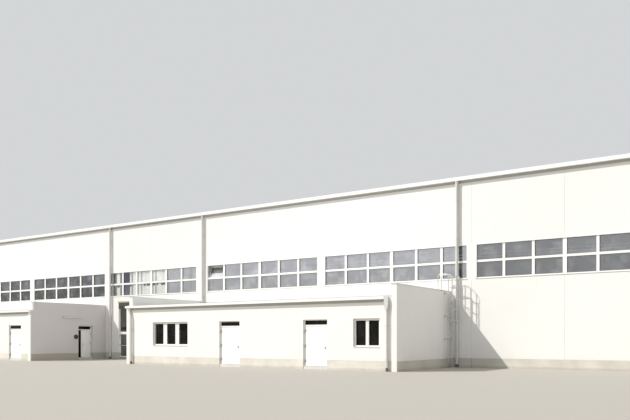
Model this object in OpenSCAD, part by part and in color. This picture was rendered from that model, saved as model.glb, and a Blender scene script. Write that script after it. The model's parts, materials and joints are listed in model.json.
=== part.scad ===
// Factory hall with two low annexes along its front, as a scale model at half size.
// The front looks towards -Y. The origin is the middle of the hall's plan, at ground level.

/* [Hall] */
// Length of one bay, from frame line to frame line
bay_l = 5000; // [4700:50:5600]
// Number of bays on each side of the expansion joint
side_bays = 3; // [3:1:4]
// Distance between the twin frames at the expansion joint
joint_w = 260; // [230:10:400]
// Depth of the hall, over its walls
hall_d = 12000; // [11600:100:14000]
// Height of the top of the eaves gutter
eaves_h = 5335; // [5000:5:6000]
// Pitch of the roof in degrees
roof_pitch = 3.5; // [2.5:0.5:6]
// Thickness of the roof
roof_t = 110; // [90:5:160]
// Depth of the ribs under the roof
rib_h = 50; // [30:5:70]
// Distance between the ribs under the roof
rib_pitch = 250; // [180:10:500]
// Thickness of the ground floor slab
floor_t = 75; // [60:5:100]
// Thickness of the metal flashings
flashing_t = 5; // [3:1:8]
// Width of the flashing on each side of the ridge
ridge_w = 220; // [150:10:300]
// Width of the flashing along a gable's edge
verge_w = 120; // [80:10:160]
// Height of the flashing on the face of a gable
verge_h = 150; // [130:5:180]

/* [Wall panels] */
// Thickness of the hall's wall panels
panel_t = 100; // [90:5:130]
// Open joint between neighbouring panels
panel_gap = 10; // [6:1:16]
// Height of the concrete plinth
plinth_h = 260; // [200:10:320]
// How far the plinth stands back from the wall above it
plinth_set = 20; // [10:5:30]

/* [Frames] */
// Side of a square column
column_w = 200; // [160:10:220]
// Depth of a roof beam at the eaves
beam_h = 250; // [200:10:320]
// Width of a roof beam's flanges
flange_w = 160; // [120:10:180]
// Thickness of a roof beam's web
web_t = 60; // [40:5:90]
// Height of a flange
flange_h = 70; // [50:5:90]
// Height of an edge beam under and over the windows
edge_beam_h = 180; // [140:10:240]
// Depth of an edge beam
edge_beam_t = 90; // [60:5:100]
// Side of a square wind brace
brace_w = 70; // [50:5:90]
// Side of a square post in the gables
post_w = 120; // [80:10:150]
// Open bed between a sloping roof and what carries it
bed = 0.5; // [0.3:0.1:1]

/* [Window band] */
// Height of the underside of the window band
band_z = 2474; // [2350:2:2600]
// Height of the window band
band_h = 977; // [800:1:1150]
// Wall between the windows of two bays
pier_w = 220; // [180:10:400]
// Wall between the two windows of a gable
gable_pier_w = 600; // [400:20:900]
// Panes in one row of a hall window
band_panes = 6; // [4:2:8]
// Width of the outer frame of a window
stile_w = 36; // [25:1:50]
// Width of the bars between two panes
mullion_w = 74; // [40:2:90]
// Width of the middle bar of a hall window
middle_w = 104; // [60:2:120]
// Height of the rail between the two rows of panes
rail_w = 65; // [40:1:80]
// Depth of a window frame
frame_t = 60; // [50:2:80]
// Depth of the bars in a window frame
bar_t = 36; // [24:2:42]
// How far a window frame stands back from the face of its wall
frame_set = 20; // [5:5:25]
// Thickness of a glass sheet
glass_t = 12; // [6:1:16]
// Open seal beside and over a frame in its opening
seal = 4; // [2:1:8]
// How far a window sill stands out from the wall
sill_out = 16; // [10:1:18]
// Thickness of a window sill
sill_t = 14; // [8:1:20]
// Angle at which the open sash leans inwards
sash_angle = 20; // [5:1:30]
// Thickness of the open sash
sash_t = 24; // [18:1:30]
// Width of the open sash's frame
sash_w = 30; // [22:1:40]

/* [Gutters and pipes] */
// How far a gutter stands out from the wall
gutter_w = 100; // [80:5:130]
// Height of the hall's gutter
gutter_h = 100; // [80:5:130]
// Height of an annex's gutter
annex_gutter_h = 65; // [50:5:90]
// Thickness of a gutter's metal
gutter_t = 8; // [5:1:12]
// Radius of a downpipe
pipe_r = 40; // [30:1:45]
// Distance from the wall to the middle of a downpipe
pipe_out = 60; // [50:1:75]
// Distance between the clips of a downpipe
clip_pitch = 1100; // [600:50:1500]
// Height of the funnel between a hall gutter and its downpipe
outlet_h = 70; // [50:5:90]
// Distance from the left annex to the hall's downpipe beside it
left_pipe_at = 340; // [120:5:600]
// Distance from the right annex to the hall's downpipe beside it
right_pipe_at = 215; // [120:5:600]
// Radius of an annex's downpipe
annex_pipe_r = 30; // [24:1:32]
// Distance from an annex's wall to the middle of its downpipe
annex_pipe_out = 48; // [42:1:58]
// Width of the rainwater head at the end of an annex's gutter
head_w = 110; // [90:5:130]
// Distance from an annex's outer end wall to the middle of its rainwater head
head_at = 120; // [95:5:200]
// Upright stretch of the other downpipe, from the gutter to its first bend
neck_drop = 110; // [60:5:160]
// Height of that pipe's sloping stretch
neck_fall = 190; // [120:5:260]
// Distance from the end wall to the middle of that pipe, below its bends
neck_at = 90; // [70:5:200]

/* [Entrance] */
// Distance from the left annex to the entrance's opening
entrance_x = 780; // [700:5:1200]
// Width of the entrance opening
entrance_w = 1110; // [1000:10:1300]
// Height of the entrance opening above the ground
entrance_h = 2030; // [1900:10:2200]
// Height of the top of the glazed door above the ground
entrance_leaf_h = 1022; // [980:1:1100]
// Width of the glazed door
entrance_leaf_w = 560; // [500:5:620]
// Height of the rail over the glazed door
entrance_rail_h = 48; // [30:2:60]

/* [Annexes] */
// Depth of an annex in front of the hall
annex_d = 3340; // [3000:20:3800]
// Length of an annex over its end walls
annex_l = 9615; // [9400:5:9800]
// Place of the right annex's left end, from the middle of the hall
right_annex_x = -110; // [-300:5:0]
// Distance from the hall's left end to the left annex
left_annex_inset = 490; // [300:5:650]
// Thickness of an annex's front wall
annex_wall_t = 150; // [130:5:180]
// Thickness of an annex's end walls
end_wall_t = 140; // [120:5:170]
// Height of an annex's end walls
parapet_h = 2150; // [2100:10:2300]
// How far the end walls stand out from the front wall
nib_out = 30; // [10:5:50]
// Distance from the front of an inner end wall to where it rises over the roof
rise_at = 120; // [90:5:200]
// Height of the top of an annex's roof at the hall
annex_roof_high = 2040; // [1960:5:2080]
// Height of the top of an annex's roof at the front
annex_roof_low = 1850; // [1820:5:1900]
// Thickness of an annex's roof
annex_roof_t = 90; // [70:5:110]
// Height of an annex's plinth
annex_plinth_h = 250; // [200:10:300]
// How far an annex's plinth stands back
annex_plinth_set = 15; // [5:5:25]

/* [Annex windows] */
// Height of the underside of an annex's windows
annex_sill_z = 590; // [540:5:640]
// Height of an annex's windows
annex_window_h = 720; // [640:5:760]
// Width of the window with three sashes
wide_window_w = 1480; // [1300:10:1600]
// Width of the window with two sashes
narrow_window_w = 760; // [700:10:850]
// Width of the frame round an annex window
annex_stile_w = 45; // [35:1:55]
// Width of the bars between the sashes of the window with three
wide_bar_w = 150; // [90:5:170]
// Width of the bar between the sashes of the window with two
narrow_bar_w = 84; // [60:2:110]
// How far an annex's windows stand back from the face of its wall
annex_frame_set = 60; // [40:5:80]
// Distance from an annex's left end to its wide window
wide_window_at = 1165; // [1000:5:1300]
// Distance from an annex's left end to the next opening, a door or a narrow window
second_opening_at = 3900; // [3700:10:4100]
// Distance from the right annex's right end to the left edge of its second door
right_door_back = 2775; // [2600:5:2900]
// Distance from the right annex's right end to the left edge of its narrow window
narrow_window_back = 1240; // [1150:10:1350]
// Distance from the left annex's right end to the left edge of its first door
left_door_1_back = 2860; // [2700:10:3000]
// Distance from the left annex's right end to the left edge of its second door
left_door_2_back = 1375; // [1250:5:1500]

/* [Doors] */
// Width of a door opening
door_w = 760; // [720:5:800]
// Height of the top of a door opening above the ground
door_h = 1305; // [1260:5:1400]
// Height of the top of a door leaf above the ground
leaf_h = 1130; // [1090:5:1150]
// How far a front door's frame stands back from the face of its wall
door_set = 50; // [40:5:70]
// Thickness of a door leaf
leaf_t = 25; // [20:1:32]
// Width of a door frame's posts
jamb_w = 35; // [28:1:45]
// Depth of a door frame
jamb_t = 50; // [44:1:60]
// Height of the rail between a door and the light over it
transom_w = 35; // [25:1:45]
// Running gap round a door leaf
leaf_gap = 6; // [5:1:9]
// Distance from a frame's face to the hinge line
hinge_out = 12; // [11:1:14]
// Radius of a hinge
hinge_r = 6; // [5:1:6]
// Length of a hinge's knuckle
knuckle_l = 40; // [30:1:60]
// Width of the opening of the door in the left annex's end wall
end_door_w = 660; // [600:5:700]
// Distance from the hall to the opening of that door
end_door_y = 640; // [560:5:700]
// Angle at which that door stands open
end_door_ajar = 18; // [0:1:30]
// Height of a door handle above the ground
handle_z = 590; // [540:5:640]

/* [Ladder] */
// Distance from the hall to the middle of the ladder
ladder_y = 325; // [300:5:400]
// Distance between the ladder's rails
ladder_w = 250; // [220:5:280]
// Distance from the end wall to the ladder
ladder_out = 125; // [100:5:150]
// Height of the top of the ladder's rails
ladder_top = 2600; // [2560:5:2700]
// Height of the foot of the ladder's rails
ladder_foot = 130; // [80:10:260]
// Radius of the bends where the rails turn over the wall to the annex roof
rail_bend = 70; // [50:5:80]
// Level length of a rail over the wall
rail_run = 170; // [150:10:200]
// Distance from the top of the end wall to the upper brackets
bracket_drop = 105; // [80:5:140]
// Distance between the brackets
bracket_pitch = 628; // [500:1:700]
// Radius of a rail
rail_r = 11; // [9:1:13]
// Radius of a rung
rung_r = 7; // [5:1:8]
// Distance between the rungs
rung_pitch = 145; // [120:5:160]
// Radius of the safety cage
cage_r = 175; // [160:5:190]
// Height of the lowest hoop of the cage
cage_foot = 1300; // [1100:10:1500]
// Distance between the hoops of the cage
hoop_pitch = 301; // [250:1:360]
// Width of the flat bars of the cage
strap_w = 20; // [14:1:26]
// Thickness of the flat bars of the cage
strap_t = 6; // [4:1:8]

/* [Wall fittings] */
// Length of the lamp on the left annex's end wall
lamp_l = 800; // [500:20:900]
// Distance from the hall to the middle of that lamp
lamp_y = 1630; // [1400:10:1900]
// Height of that lamp
lamp_z = 1595; // [1450:5:1650]
// Radius of the round fitting beside the end door
round_r = 90; // [60:5:110]
// Distance from the hall to the middle of that fitting
round_y = 1420; // [1410:5:1600]
// Height of the middle of the round fitting
round_z = 880; // [800:10:950]

/* [Hidden] */

white = "whitesmoke";
concrete = "lightgray";
metal = "silver";
glazing = "slategray";
joint_t = 5;

half_d = hall_d / 2;
first_line = joint_w / 2;
last_line = first_line + side_bays * bay_l;
half_l = last_line + column_w / 2 + panel_t;
roof_slope = tan(roof_pitch);
wall_top = eaves_h - 15 - roof_t;
band_top = band_z + band_h;
window_w = bay_l - pier_w;
front_y = -half_d - annex_d;

// Frame lines, panel joints and bay middles, seen from the middle of the hall outwards
frame_lines = [for (side = [-1, 1]) for (i = [0:side_bays]) side * (first_line + i * bay_l)];
bay_starts = [for (i = [0:side_bays - 1]) first_line + i * bay_l];
bay_middles = [for (side = [-1, 1]) for (start = bay_starts) side * (start + bay_l / 2)];
side_joints = concat([0], [for (i = [1:2 * side_bays - 1]) first_line + i * bay_l / 2], [half_l]);
gable_middle = (gable_pier_w + window_w) / 2;
gable_joints = [-half_d + panel_t, -gable_middle, 0, gable_middle, half_d - panel_t];

// The annexes' ends, and the entrance beside the left annex
right_annex_end = right_annex_x + annex_l;
left_annex_start = -half_l + left_annex_inset;
left_annex_x = left_annex_start + annex_l;
entrance_left = left_annex_x + entrance_x;
entrance_right = entrance_left + entrance_w;
end_door_near = -half_d - end_door_y - end_door_w;
door_y = front_y + door_set;
leaf_z = floor_t + leaf_gap;

// Height of the roof's top and underside at a distance from the middle of the hall
function roof_top(y) = eaves_h - 15 + (half_d - abs(y)) * roof_slope;
function roof_under(y) = roof_top(y) - roof_t;
// Height of an annex roof's top and underside at a place between its front and the hall
function annex_top(y) = annex_roof_low
    + (y - front_y) * (annex_roof_high - annex_roof_low) / annex_d;
function annex_under(y) = annex_top(y) - annex_roof_t;

// A block between two opposite corners, in either order
module block(from, to) {
    low = [for (i = [0:2]) min(from[i], to[i])];
    high = [for (i = [0:2]) max(from[i], to[i])];
    translate(low) cube(high - low);
}

// A profile in the YZ plane, run along X
module along_x(x0, x1, points) {
    translate([x0, 0, 0]) rotate([90, 0, 90]) linear_extrude(x1 - x0) polygon(points);
}

// A profile in the XZ plane, run along Y
module along_y(y0, y1, points) {
    translate([0, y1, 0]) rotate([90, 0, 0]) linear_extrude(y1 - y0) polygon(points);
}

// A round bar between two points in a plane across Y
module tube_xz(from, to, radius) {
    run = to - from;
    translate(from) rotate([0, atan2(run.x, run.z), 0]) cylinder(h = norm(run), r = radius);
}

// Panels between neighbouring joints on both halves of a long wall
module long_panels(y0, z0, z1) {
    for (side = [-1, 1]) for (i = [0:len(side_joints) - 2]) {
        inner = side_joints[i] + panel_gap / 2;
        outer = side_joints[i + 1] - (i == len(side_joints) - 2 ? 0 : panel_gap / 2);
        block([side * inner, y0, z0], [side * outer, y0 + panel_t, z1]);
    }
}

// The grid of a window frame, from its lower left corner, with its face at y = 0
module frame_grid(w, h, columns, bar, middle, rows, rail) {
    pane_w = (w - 2 * stile_w - (columns - 2) * bar - middle) / columns;
    pane_h = (h - 2 * stile_w - (rows - 1) * rail) / rows;
    difference() {
        cube([w, frame_t, h]);
        translate([stile_w, bar_t, stile_w]) cube([w - 2 * stile_w, frame_t, h - 2 * stile_w]);
        for (i = [0:columns - 1]) for (j = [0:rows - 1])
            translate([stile_w + i * (pane_w + bar) + (i >= columns / 2 ? middle - bar : 0), -1,
                    stile_w + j * (pane_h + rail)])
                cube([pane_w, frame_t, pane_h]);
    }
}

// Width and height of one pane of a hall window
hall_frame_w = window_w - 2 * seal;
hall_frame_h = band_h - seal;
pane_w = (hall_frame_w - 2 * stile_w - (band_panes - 2) * mullion_w - middle_w) / band_panes;
pane_h = (hall_frame_h - 2 * stile_w - rail_w) / 2;
sash_over = 12;

module hall_window_frame() {
    frame_grid(hall_frame_w, hall_frame_h, band_panes, mullion_w, middle_w, 2, rail_w);
    block([0, -frame_set - sill_out, 0], [hall_frame_w, 0.5, sill_t]);
}

module hall_window_glass() {
    block([stile_w, bar_t, stile_w], [hall_frame_w - stile_w, bar_t + glass_t, hall_frame_h - stile_w]);
}

// Places the children in the window of a bay of the front or back wall
module in_front_window(middle) {
    translate([middle - hall_frame_w / 2, -half_d + frame_set, band_z]) children();
}

module in_back_window(middle) {
    rotate([0, 0, 180]) in_front_window(middle) children();
}

module in_gable_window(side, middle) {
    rotate([0, 0, side * 90]) translate([middle - hall_frame_w / 2, -half_l + frame_set, band_z])
        children();
}

// Plinth units, one to a bay, set back under the panels
module hall_plinth() {
    color(concrete) {
        for (side = [-1, 1]) for (i = [0:side_bays - 1]) {
            inner = (i == 0 ? 0 : bay_starts[i]) + panel_gap / 2;
            outer = i == side_bays - 1 ? half_l - plinth_set : bay_starts[i] + bay_l - panel_gap / 2;
            block([side * inner, half_d - panel_t, 0], [side * outer, half_d - plinth_set, plinth_h]);
            difference() {
                block([side * inner, -half_d + plinth_set, 0], [side * outer, -half_d + panel_t, plinth_h]);
                block([entrance_left, -half_d, -1], [entrance_right, -half_d + 2 * panel_t, plinth_h + 1]);
            }
        }
        for (side = [-1, 1]) for (end = [-1, 1])
            block([side * (half_l - plinth_set), end * panel_gap / 2, 0],
                [side * (half_l - panel_t), end * (half_d - panel_t - panel_gap), plinth_h]);
    }
}

module hall_floor() {
    color(concrete) {
        block([-half_l + panel_t, -half_d + panel_t, 0], [half_l - panel_t, half_d - panel_t, floor_t]);
        block([entrance_left, -half_d + plinth_set, 0], [entrance_right, -half_d + panel_t + 1, floor_t]);
    }
}

// The lower panels stand on both sides of the entrance, with a short one over it
module front_lower_panels() {
    color(white) {
        difference() {
            long_panels(-half_d, plinth_h, band_z);
            block([entrance_left, -half_d - 1, 0], [entrance_right, -half_d + panel_t + 1, band_z + 1]);
        }
        block([entrance_left + panel_gap, -half_d, entrance_h],
            [entrance_right - panel_gap, -half_d + panel_t, band_z]);
    }
}

module front_upper_panels() {
    color(white) long_panels(-half_d, band_top, wall_top);
}

module back_panels() {
    color(white) {
        long_panels(half_d - panel_t, plinth_h, band_z);
        long_panels(half_d - panel_t, band_top, wall_top);
    }
}

// Gable panels under and over the window band, the upper ones cut to the slope of the roof
module gable_panels() {
    color(white) for (side = [-1, 1]) {
        x0 = side > 0 ? half_l - panel_t : -half_l;
        for (i = [0:len(gable_joints) - 2]) {
            y0 = gable_joints[i] + panel_gap / 2;
            y1 = gable_joints[i + 1] - panel_gap / 2;
            block([x0, y0, plinth_h], [x0 + panel_t, y1, band_z]);
            along_x(x0, x0 + panel_t,
                [[y0, band_top], [y1, band_top], [y1, roof_under(y1) - bed], [y0, roof_under(y0) - bed]]);
        }
    }
}

// Wall between the windows, from panel to panel
module window_piers() {
    color(white) {
        for (y0 = [-half_d, half_d - panel_t]) {
            block([-first_line - pier_w / 2, y0, band_z], [first_line + pier_w / 2, y0 + panel_t, band_top]);
            for (side = [-1, 1]) {
                for (i = [1:side_bays - 1])
                    block([side * bay_starts[i] - pier_w / 2, y0, band_z],
                        [side * bay_starts[i] + pier_w / 2, y0 + panel_t, band_top]);
                block([side * (last_line - pier_w / 2), y0, band_z],
                    [side * half_l, y0 + panel_t, band_top]);
            }
        }
        for (side = [-1, 1]) {
            inner = side * (half_l - panel_t);
            block([inner, -gable_pier_w / 2, band_z], [side * half_l, gable_pier_w / 2, band_top]);
            for (end = [-1, 1])
                block([inner, end * (gable_middle + window_w / 2), band_z],
                    [side * half_l, end * (half_d - panel_t - panel_gap), band_top]);
        }
    }
}

// Columns along both long walls, and posts behind the gable panels
module hall_columns() {
    beam_under = roof_under(half_d - panel_t) - beam_h;
    color(concrete) {
        for (x = frame_lines) for (side = [-1, 1])
            block([x - column_w / 2, side * (half_d - panel_t - column_w), floor_t],
                [x + column_w / 2, side * (half_d - panel_t), beam_under]);
        for (side = [-1, 1]) for (y = [-gable_middle, 0, gable_middle]) {
            x = side * (half_l - panel_t - post_w / 2);
            block([x - post_w / 2, y - post_w / 2, floor_t], [x + post_w / 2, y + post_w / 2, beam_under]);
        }
    }
}

// Roof beams with a level underside and a ridged top, an I in section between solid ends
module roof_beam(x) {
    end = half_d - panel_t;
    inner = end - 2 * column_w;
    under = roof_under(end) - beam_h;
    function top(y) = roof_under(y) - bed;
    along_x(x - web_t / 2, x + web_t / 2,
        [[-end, under], [end, under], [end, top(end)], [0, top(0)], [-end, top(end)]]);
    block([x - flange_w / 2, -end, under], [x + flange_w / 2, end, under + flange_h]);
    along_x(x - flange_w / 2, x + flange_w / 2,
        [[-end, top(end) - flange_h], [0, top(0) - flange_h], [end, top(end) - flange_h],
            [end, top(end)], [0, top(0)], [-end, top(end)]]);
    for (side = [-1, 1])
        along_x(x - flange_w / 2, x + flange_w / 2,
            [[side * end, under], [side * end, top(end)], [side * inner, top(inner)], [side * inner, under]]);
}

module roof_beams() {
    color(concrete) for (x = frame_lines) roof_beam(x);
}

// Edge beams between the columns, under and over the windows
module edge_beams() {
    half = (bay_l - column_w) / 2;
    color(concrete) for (middle = bay_middles) for (side = [-1, 1]) for (z = [band_z - edge_beam_h, band_top])
        block([middle - half, side * (half_d - panel_t - edge_beam_t), z],
            [middle + half, side * (half_d - panel_t), z + edge_beam_h]);
}

// Wind braces in an upturned V from the columns' feet to a strut between the column heads
module wind_brace(middle, side) {
    half = (bay_l - column_w) / 2;
    y = side * (half_d - panel_t - column_w + brace_w / 2 + 5);
    apex = [middle, y, band_top - brace_w / 2];
    intersection() {
        union() for (end = [-1, 1])
            brace_leg([middle + end * (half + brace_w), y, floor_t - brace_w], apex);
        block([middle - half, y - brace_w, floor_t], [middle + half, y + brace_w, band_top]);
    }
    block([middle - half, y - brace_w / 2, band_top - brace_w], [middle + half, y + brace_w / 2, band_top]);
}

module brace_leg(from, to) {
    run = to - from;
    translate(from) rotate([0, atan2(run.x, run.z), 0]) translate([-brace_w / 2, -brace_w / 2, 0])
        cube([brace_w, brace_w, norm(run)]);
}

module wind_braces() {
    color(white) for (side = [-1, 1]) wind_brace(first_line + bay_l / 2, side);
}

// One slope of the roof, with a flat top and a ribbed underside
module roof_slope_solid(side) {
    count = floor(half_d / rib_pitch);
    start = half_d - count * rib_pitch;
    rib = rib_pitch / 2;
    flank = rib_h / 2;
    ribs = [for (i = [0:count - 1]) let (y = start + i * rib_pitch)
        each [[y, roof_under(y) + rib_h], [y + rib - flank, roof_under(y + rib - flank) + rib_h],
            [y + rib, roof_under(y + rib)], [y + rib_pitch - flank, roof_under(y + rib_pitch - flank)]]];
    outline = concat([[joint_t, roof_top(joint_t)], [joint_t, roof_under(joint_t) + rib_h]], ribs,
        [[half_d, roof_under(half_d)], [half_d, roof_top(half_d)]]);
    along_x(-half_l, half_l, [for (p = outline) if (p[0] >= joint_t) [side * p[0], p[1]]]);
}

module roof_front_slope() {
    color(concrete) roof_slope_solid(-1);
}

module roof_back_slope() {
    color(concrete) roof_slope_solid(1);
}

// A strip that follows a slope of the roof, between two heights measured from the roof's top
module slope_strip(x0, x1, y0, y1, low, high) {
    along_x(min(x0, x1), max(x0, x1), [[y0, roof_top(y0) + low], [y1, roof_top(y1) + low],
        [y1, roof_top(y1) + high], [y0, roof_top(y0) + high]]);
}

// Cap on an annex's end wall, from its front to the hall, with edges turned down over the wall
module wall_cap(x, front) {
    leg = 25;
    difference() {
        block([x - flashing_t, front - flashing_t, parapet_h - leg],
            [x + end_wall_t + flashing_t, -half_d, parapet_h + flashing_t]);
        block([x, front, parapet_h - leg - 1], [x + end_wall_t, -half_d + 1, parapet_h]);
    }
}

// Flashing over the ridge, turned down over the gables at its ends
module ridge_cap() {
    high = bed + flashing_t;
    for (slope = [-1, 1]) {
        slope_strip(-half_l, half_l, 0, slope * ridge_w, bed, high);
        for (side = [-1, 1])
            slope_strip(side * half_l, side * (half_l + flashing_t), 0, slope * ridge_w, -verge_h, high);
    }
}

// Flashing along one edge of a gable, from beside the ridge cap to the gutter
module verge(side, slope) {
    y0 = slope * (ridge_w + panel_gap);
    y1 = slope * half_d;
    edge = side * (half_l + flashing_t);
    slope_strip(side * (half_l - verge_w), edge, y0, y1, bed, bed + flashing_t);
    slope_strip(side * half_l, edge, y0, y1, -verge_h, bed + flashing_t);
}

module roof_flashings() {
    color(metal) {
        ridge_cap();
        for (side = [-1, 1]) for (slope = [-1, 1]) verge(side, slope);
        for (x = outer_end_walls) wall_cap(x, front_y - nib_out);
        for (x = inner_end_walls) wall_cap(x, rise_y);
    }
}

// An open box gutter run along X, with closed ends
module gutter(x0, x1, wall_y, top, height) {
    difference() {
        block([x0, wall_y - gutter_w, top - height], [x1, wall_y, top]);
        block([x0 + gutter_t, wall_y - gutter_w + gutter_t, top - height + gutter_t],
            [x1 - gutter_t, wall_y - gutter_t, top + 1]);
    }
}

module hall_gutters() {
    color(white) for (turn = [0, 180])
        rotate([0, 0, turn]) gutter(-half_l, half_l, -half_d, eaves_h, gutter_h);
}

// A straight downpipe on a wall that looks to -Y, with a funnel at its top and a socket at its foot.
// No clip sits where the pipe passes the window band.
module downpipe(x, wall_y, bottom, top) {
    funnel_r = pipe_r + 12;
    socket_h = 90;
    translate([x, wall_y - pipe_out, bottom]) {
        cylinder(h = top - bottom, r = pipe_r);
        cylinder(h = socket_h, r = pipe_r + socket_out);
        translate([0, 0, top - bottom - outlet_h]) cylinder(h = outlet_h, r1 = pipe_r, r2 = funnel_r);
    }
    for (z = [bottom + clip_pitch / 4:clip_pitch:top - clip_pitch / 8])
        if (z < band_z - clip_h || z > band_top) pipe_clip(x, wall_y, z, pipe_r, pipe_out);
}

clip_h = 24;

// Clip round a pipe of the given radius, with its stem to the wall
module pipe_clip(x, wall_y, z, radius, out) {
    clip_t = 6;
    translate([x, wall_y - out, z]) cylinder(h = clip_h, r = radius + clip_t);
    block([x - clip_t, wall_y - out, z], [x + clip_t, wall_y, z + clip_h]);
}

// How far a socket stands out round its pipe, and how far it clears the annex wall's cap beside it
socket_out = 8;
cap_clear = 2;

right_pipe_x = right_annex_end + right_pipe_at;
middle_pipe_x = right_annex_x + end_wall_t + flashing_t + cap_clear + socket_out + pipe_r;
left_pipe_x = left_annex_x + left_pipe_at;

module hall_downpipes() {
    gutter_under = eaves_h - gutter_h;
    color(metal) {
        downpipe(right_pipe_x, -half_d, 0, gutter_under);
        downpipe(middle_pipe_x, -half_d, annex_roof_high, gutter_under);
        downpipe(left_pipe_x, -half_d, 0, gutter_under);
        for (x = [-right_pipe_x, 0, right_pipe_x])
            rotate([0, 0, 180]) downpipe(x, -half_d, 0, gutter_under);
    }
}

vent_bay = first_line + bay_l / 2;
vent_z = stile_w + pane_h + rail_w;

module front_window_frames() {
    color(white) for (middle = bay_middles) in_front_window(middle) hall_window_frame();
}

// Glass behind the bars of each front window; the open sash takes one pane of its own
module front_window_glass() {
    color(glazing) {
        for (middle = bay_middles) in_front_window(middle) difference() {
            hall_window_glass();
            if (middle == vent_bay)
                block([stile_w - 1, bar_t - 1, vent_z - 2 * sash_over],
                    [stile_w + pane_w + 2 * sash_over, bar_t + glass_t + 1, hall_frame_h]);
        }
        in_open_sash() block([sash_w, (sash_t - glass_t) / 2, sash_w],
            [vent_w - sash_w, (sash_t + glass_t) / 2, vent_h - sash_w]);
    }
}

module rear_window_frames() {
    color(white) {
        for (middle = bay_middles) in_back_window(middle) hall_window_frame();
        for (side = [-1, 1]) for (end = [-1, 1])
            in_gable_window(side, end * gable_middle) hall_window_frame();
    }
}

module rear_window_glass() {
    color(glazing) {
        for (middle = bay_middles) in_back_window(middle) hall_window_glass();
        for (side = [-1, 1]) for (end = [-1, 1])
            in_gable_window(side, end * gable_middle) hall_window_glass();
    }
}

// The sash that leans inwards in the first upper pane beside the expansion joint
vent_w = pane_w + sash_over - 2;
vent_h = pane_h + sash_over;

module in_open_sash() {
    in_front_window(vent_bay) translate([stile_w + 2, bar_t, vent_z - sash_over])
        rotate([-sash_angle, 0, 0]) children();
}

module open_sash() {
    color(white) in_open_sash() difference() {
        cube([vent_w, sash_t, vent_h]);
        translate([sash_w, -1, sash_w]) cube([vent_w - 2 * sash_w, sash_t + 2, vent_h - 2 * sash_w]);
    }
}

// The glazed entrance: a frame with a door on the left, a light beside it and two lights over both
entrance_y = -half_d + panel_t - jamb_t;
entrance_post = entrance_left + jamb_w + 2 * leaf_gap + entrance_leaf_w;
entrance_bar = 40;
push_bar_z = 540;
push_bar_h = 20;

module entrance_frame() {
    top = entrance_h - seal;
    low = entrance_leaf_h + leaf_gap;
    high = low + entrance_rail_h;
    color(white) {
        difference() {
            block([entrance_left, entrance_y, floor_t], [entrance_right, entrance_y + jamb_t, top]);
            block([entrance_left + jamb_w, entrance_y - 1, 0], [entrance_post, entrance_y + jamb_t + 1, low]);
            block([entrance_post + jamb_w, entrance_y - 1, floor_t + jamb_w],
                [entrance_right - jamb_w, entrance_y + jamb_t + 1, low]);
            block([entrance_left + jamb_w, entrance_y - 1, high],
                [entrance_post, entrance_y + jamb_t + 1, top - jamb_w]);
            block([entrance_post + jamb_w, entrance_y - 1, high],
                [entrance_right - jamb_w, entrance_y + jamb_t + 1, top - jamb_w]);
        }
        frame_hinges(entrance_left + jamb_w, entrance_y, entrance_leaf_h);
    }
}

module entrance_glass() {
    y0 = entrance_y + jamb_t / 2 - glass_t / 2;
    low = entrance_leaf_h + leaf_gap;
    high = low + entrance_rail_h;
    top = entrance_h - seal - jamb_w;
    color(glazing) {
        block([entrance_post + jamb_w, y0, floor_t + jamb_w], [entrance_right - jamb_w, y0 + glass_t, low]);
        block([entrance_left + jamb_w, y0, high], [entrance_post, y0 + glass_t, top]);
        block([entrance_post + jamb_w, y0, high], [entrance_right - jamb_w, y0 + glass_t, top]);
    }
}

hinge_places = [0.12, 0.5, 0.88];

// Lower halves of the hinges, on the frame; the leaf's halves stand on them
module frame_hinges(x, face_y, top) {
    for (share = hinge_places) {
        z = leaf_z + share * (top - leaf_z) - knuckle_l - leaf_gap / 2;
        translate([x + leaf_gap / 2, face_y - hinge_out, z]) cylinder(h = knuckle_l, r = hinge_r);
        block([x - 1.5 * hinge_out, face_y - hinge_out, z], [x, face_y, z + knuckle_l]);
        block([x - hinge_out, face_y - hinge_out - 2, z],
            [x + leaf_gap / 2, face_y - hinge_out + 2, z + knuckle_l]);
    }
}

module leaf_hinges(top) {
    for (share = hinge_places) {
        z = leaf_z + share * (top - leaf_z) + leaf_gap / 2;
        translate([0, 0, z]) cylinder(h = knuckle_l, r = hinge_r);
        block([0, -2, z], [2 * hinge_out, 2, z + knuckle_l]);
        block([hinge_out, -2, z], [2 * hinge_out, hinge_out + 1, z + knuckle_l]);
    }
}

// A lever handle through the leaf, near its free edge
module leaf_handle(w, thick) {
    x = w - 45;
    lever_r = 7;
    reach = 26;
    for (y = [hinge_out - reach, hinge_out + thick + reach])
        translate([x, y, handle_z]) rotate([0, -90, 0]) cylinder(h = 75, r = lever_r);
    translate([x, hinge_out - reach, handle_z]) rotate([-90, 0, 0])
        cylinder(h = thick + 2 * reach, r = lever_r);
}

// A door leaf drawn from its hinge line, opening towards -Y, in a frame opening of the given width
module leaf(w, top) {
    block([leaf_gap / 2, hinge_out, leaf_z], [w - 1.5 * leaf_gap, hinge_out + leaf_t, top]);
    leaf_hinges(top);
    leaf_handle(w - 1.5 * leaf_gap, leaf_t);
}

// The glazed door is drawn from its hinge line, as the plain leaves are
module at_entrance_hinge() {
    translate([entrance_left + jamb_w + leaf_gap / 2, entrance_y - hinge_out, 0]) children();
}

// The two panes of the glazed door, under and over its push bar
module entrance_panes(y0, y1) {
    x0 = leaf_gap / 2 + entrance_bar;
    x1 = leaf_gap / 2 + entrance_leaf_w - entrance_bar;
    block([x0, y0, leaf_z + entrance_bar], [x1, y1, push_bar_z - push_bar_h / 2]);
    block([x0, y0, push_bar_z + push_bar_h / 2], [x1, y1, entrance_leaf_h - entrance_bar]);
}

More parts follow.
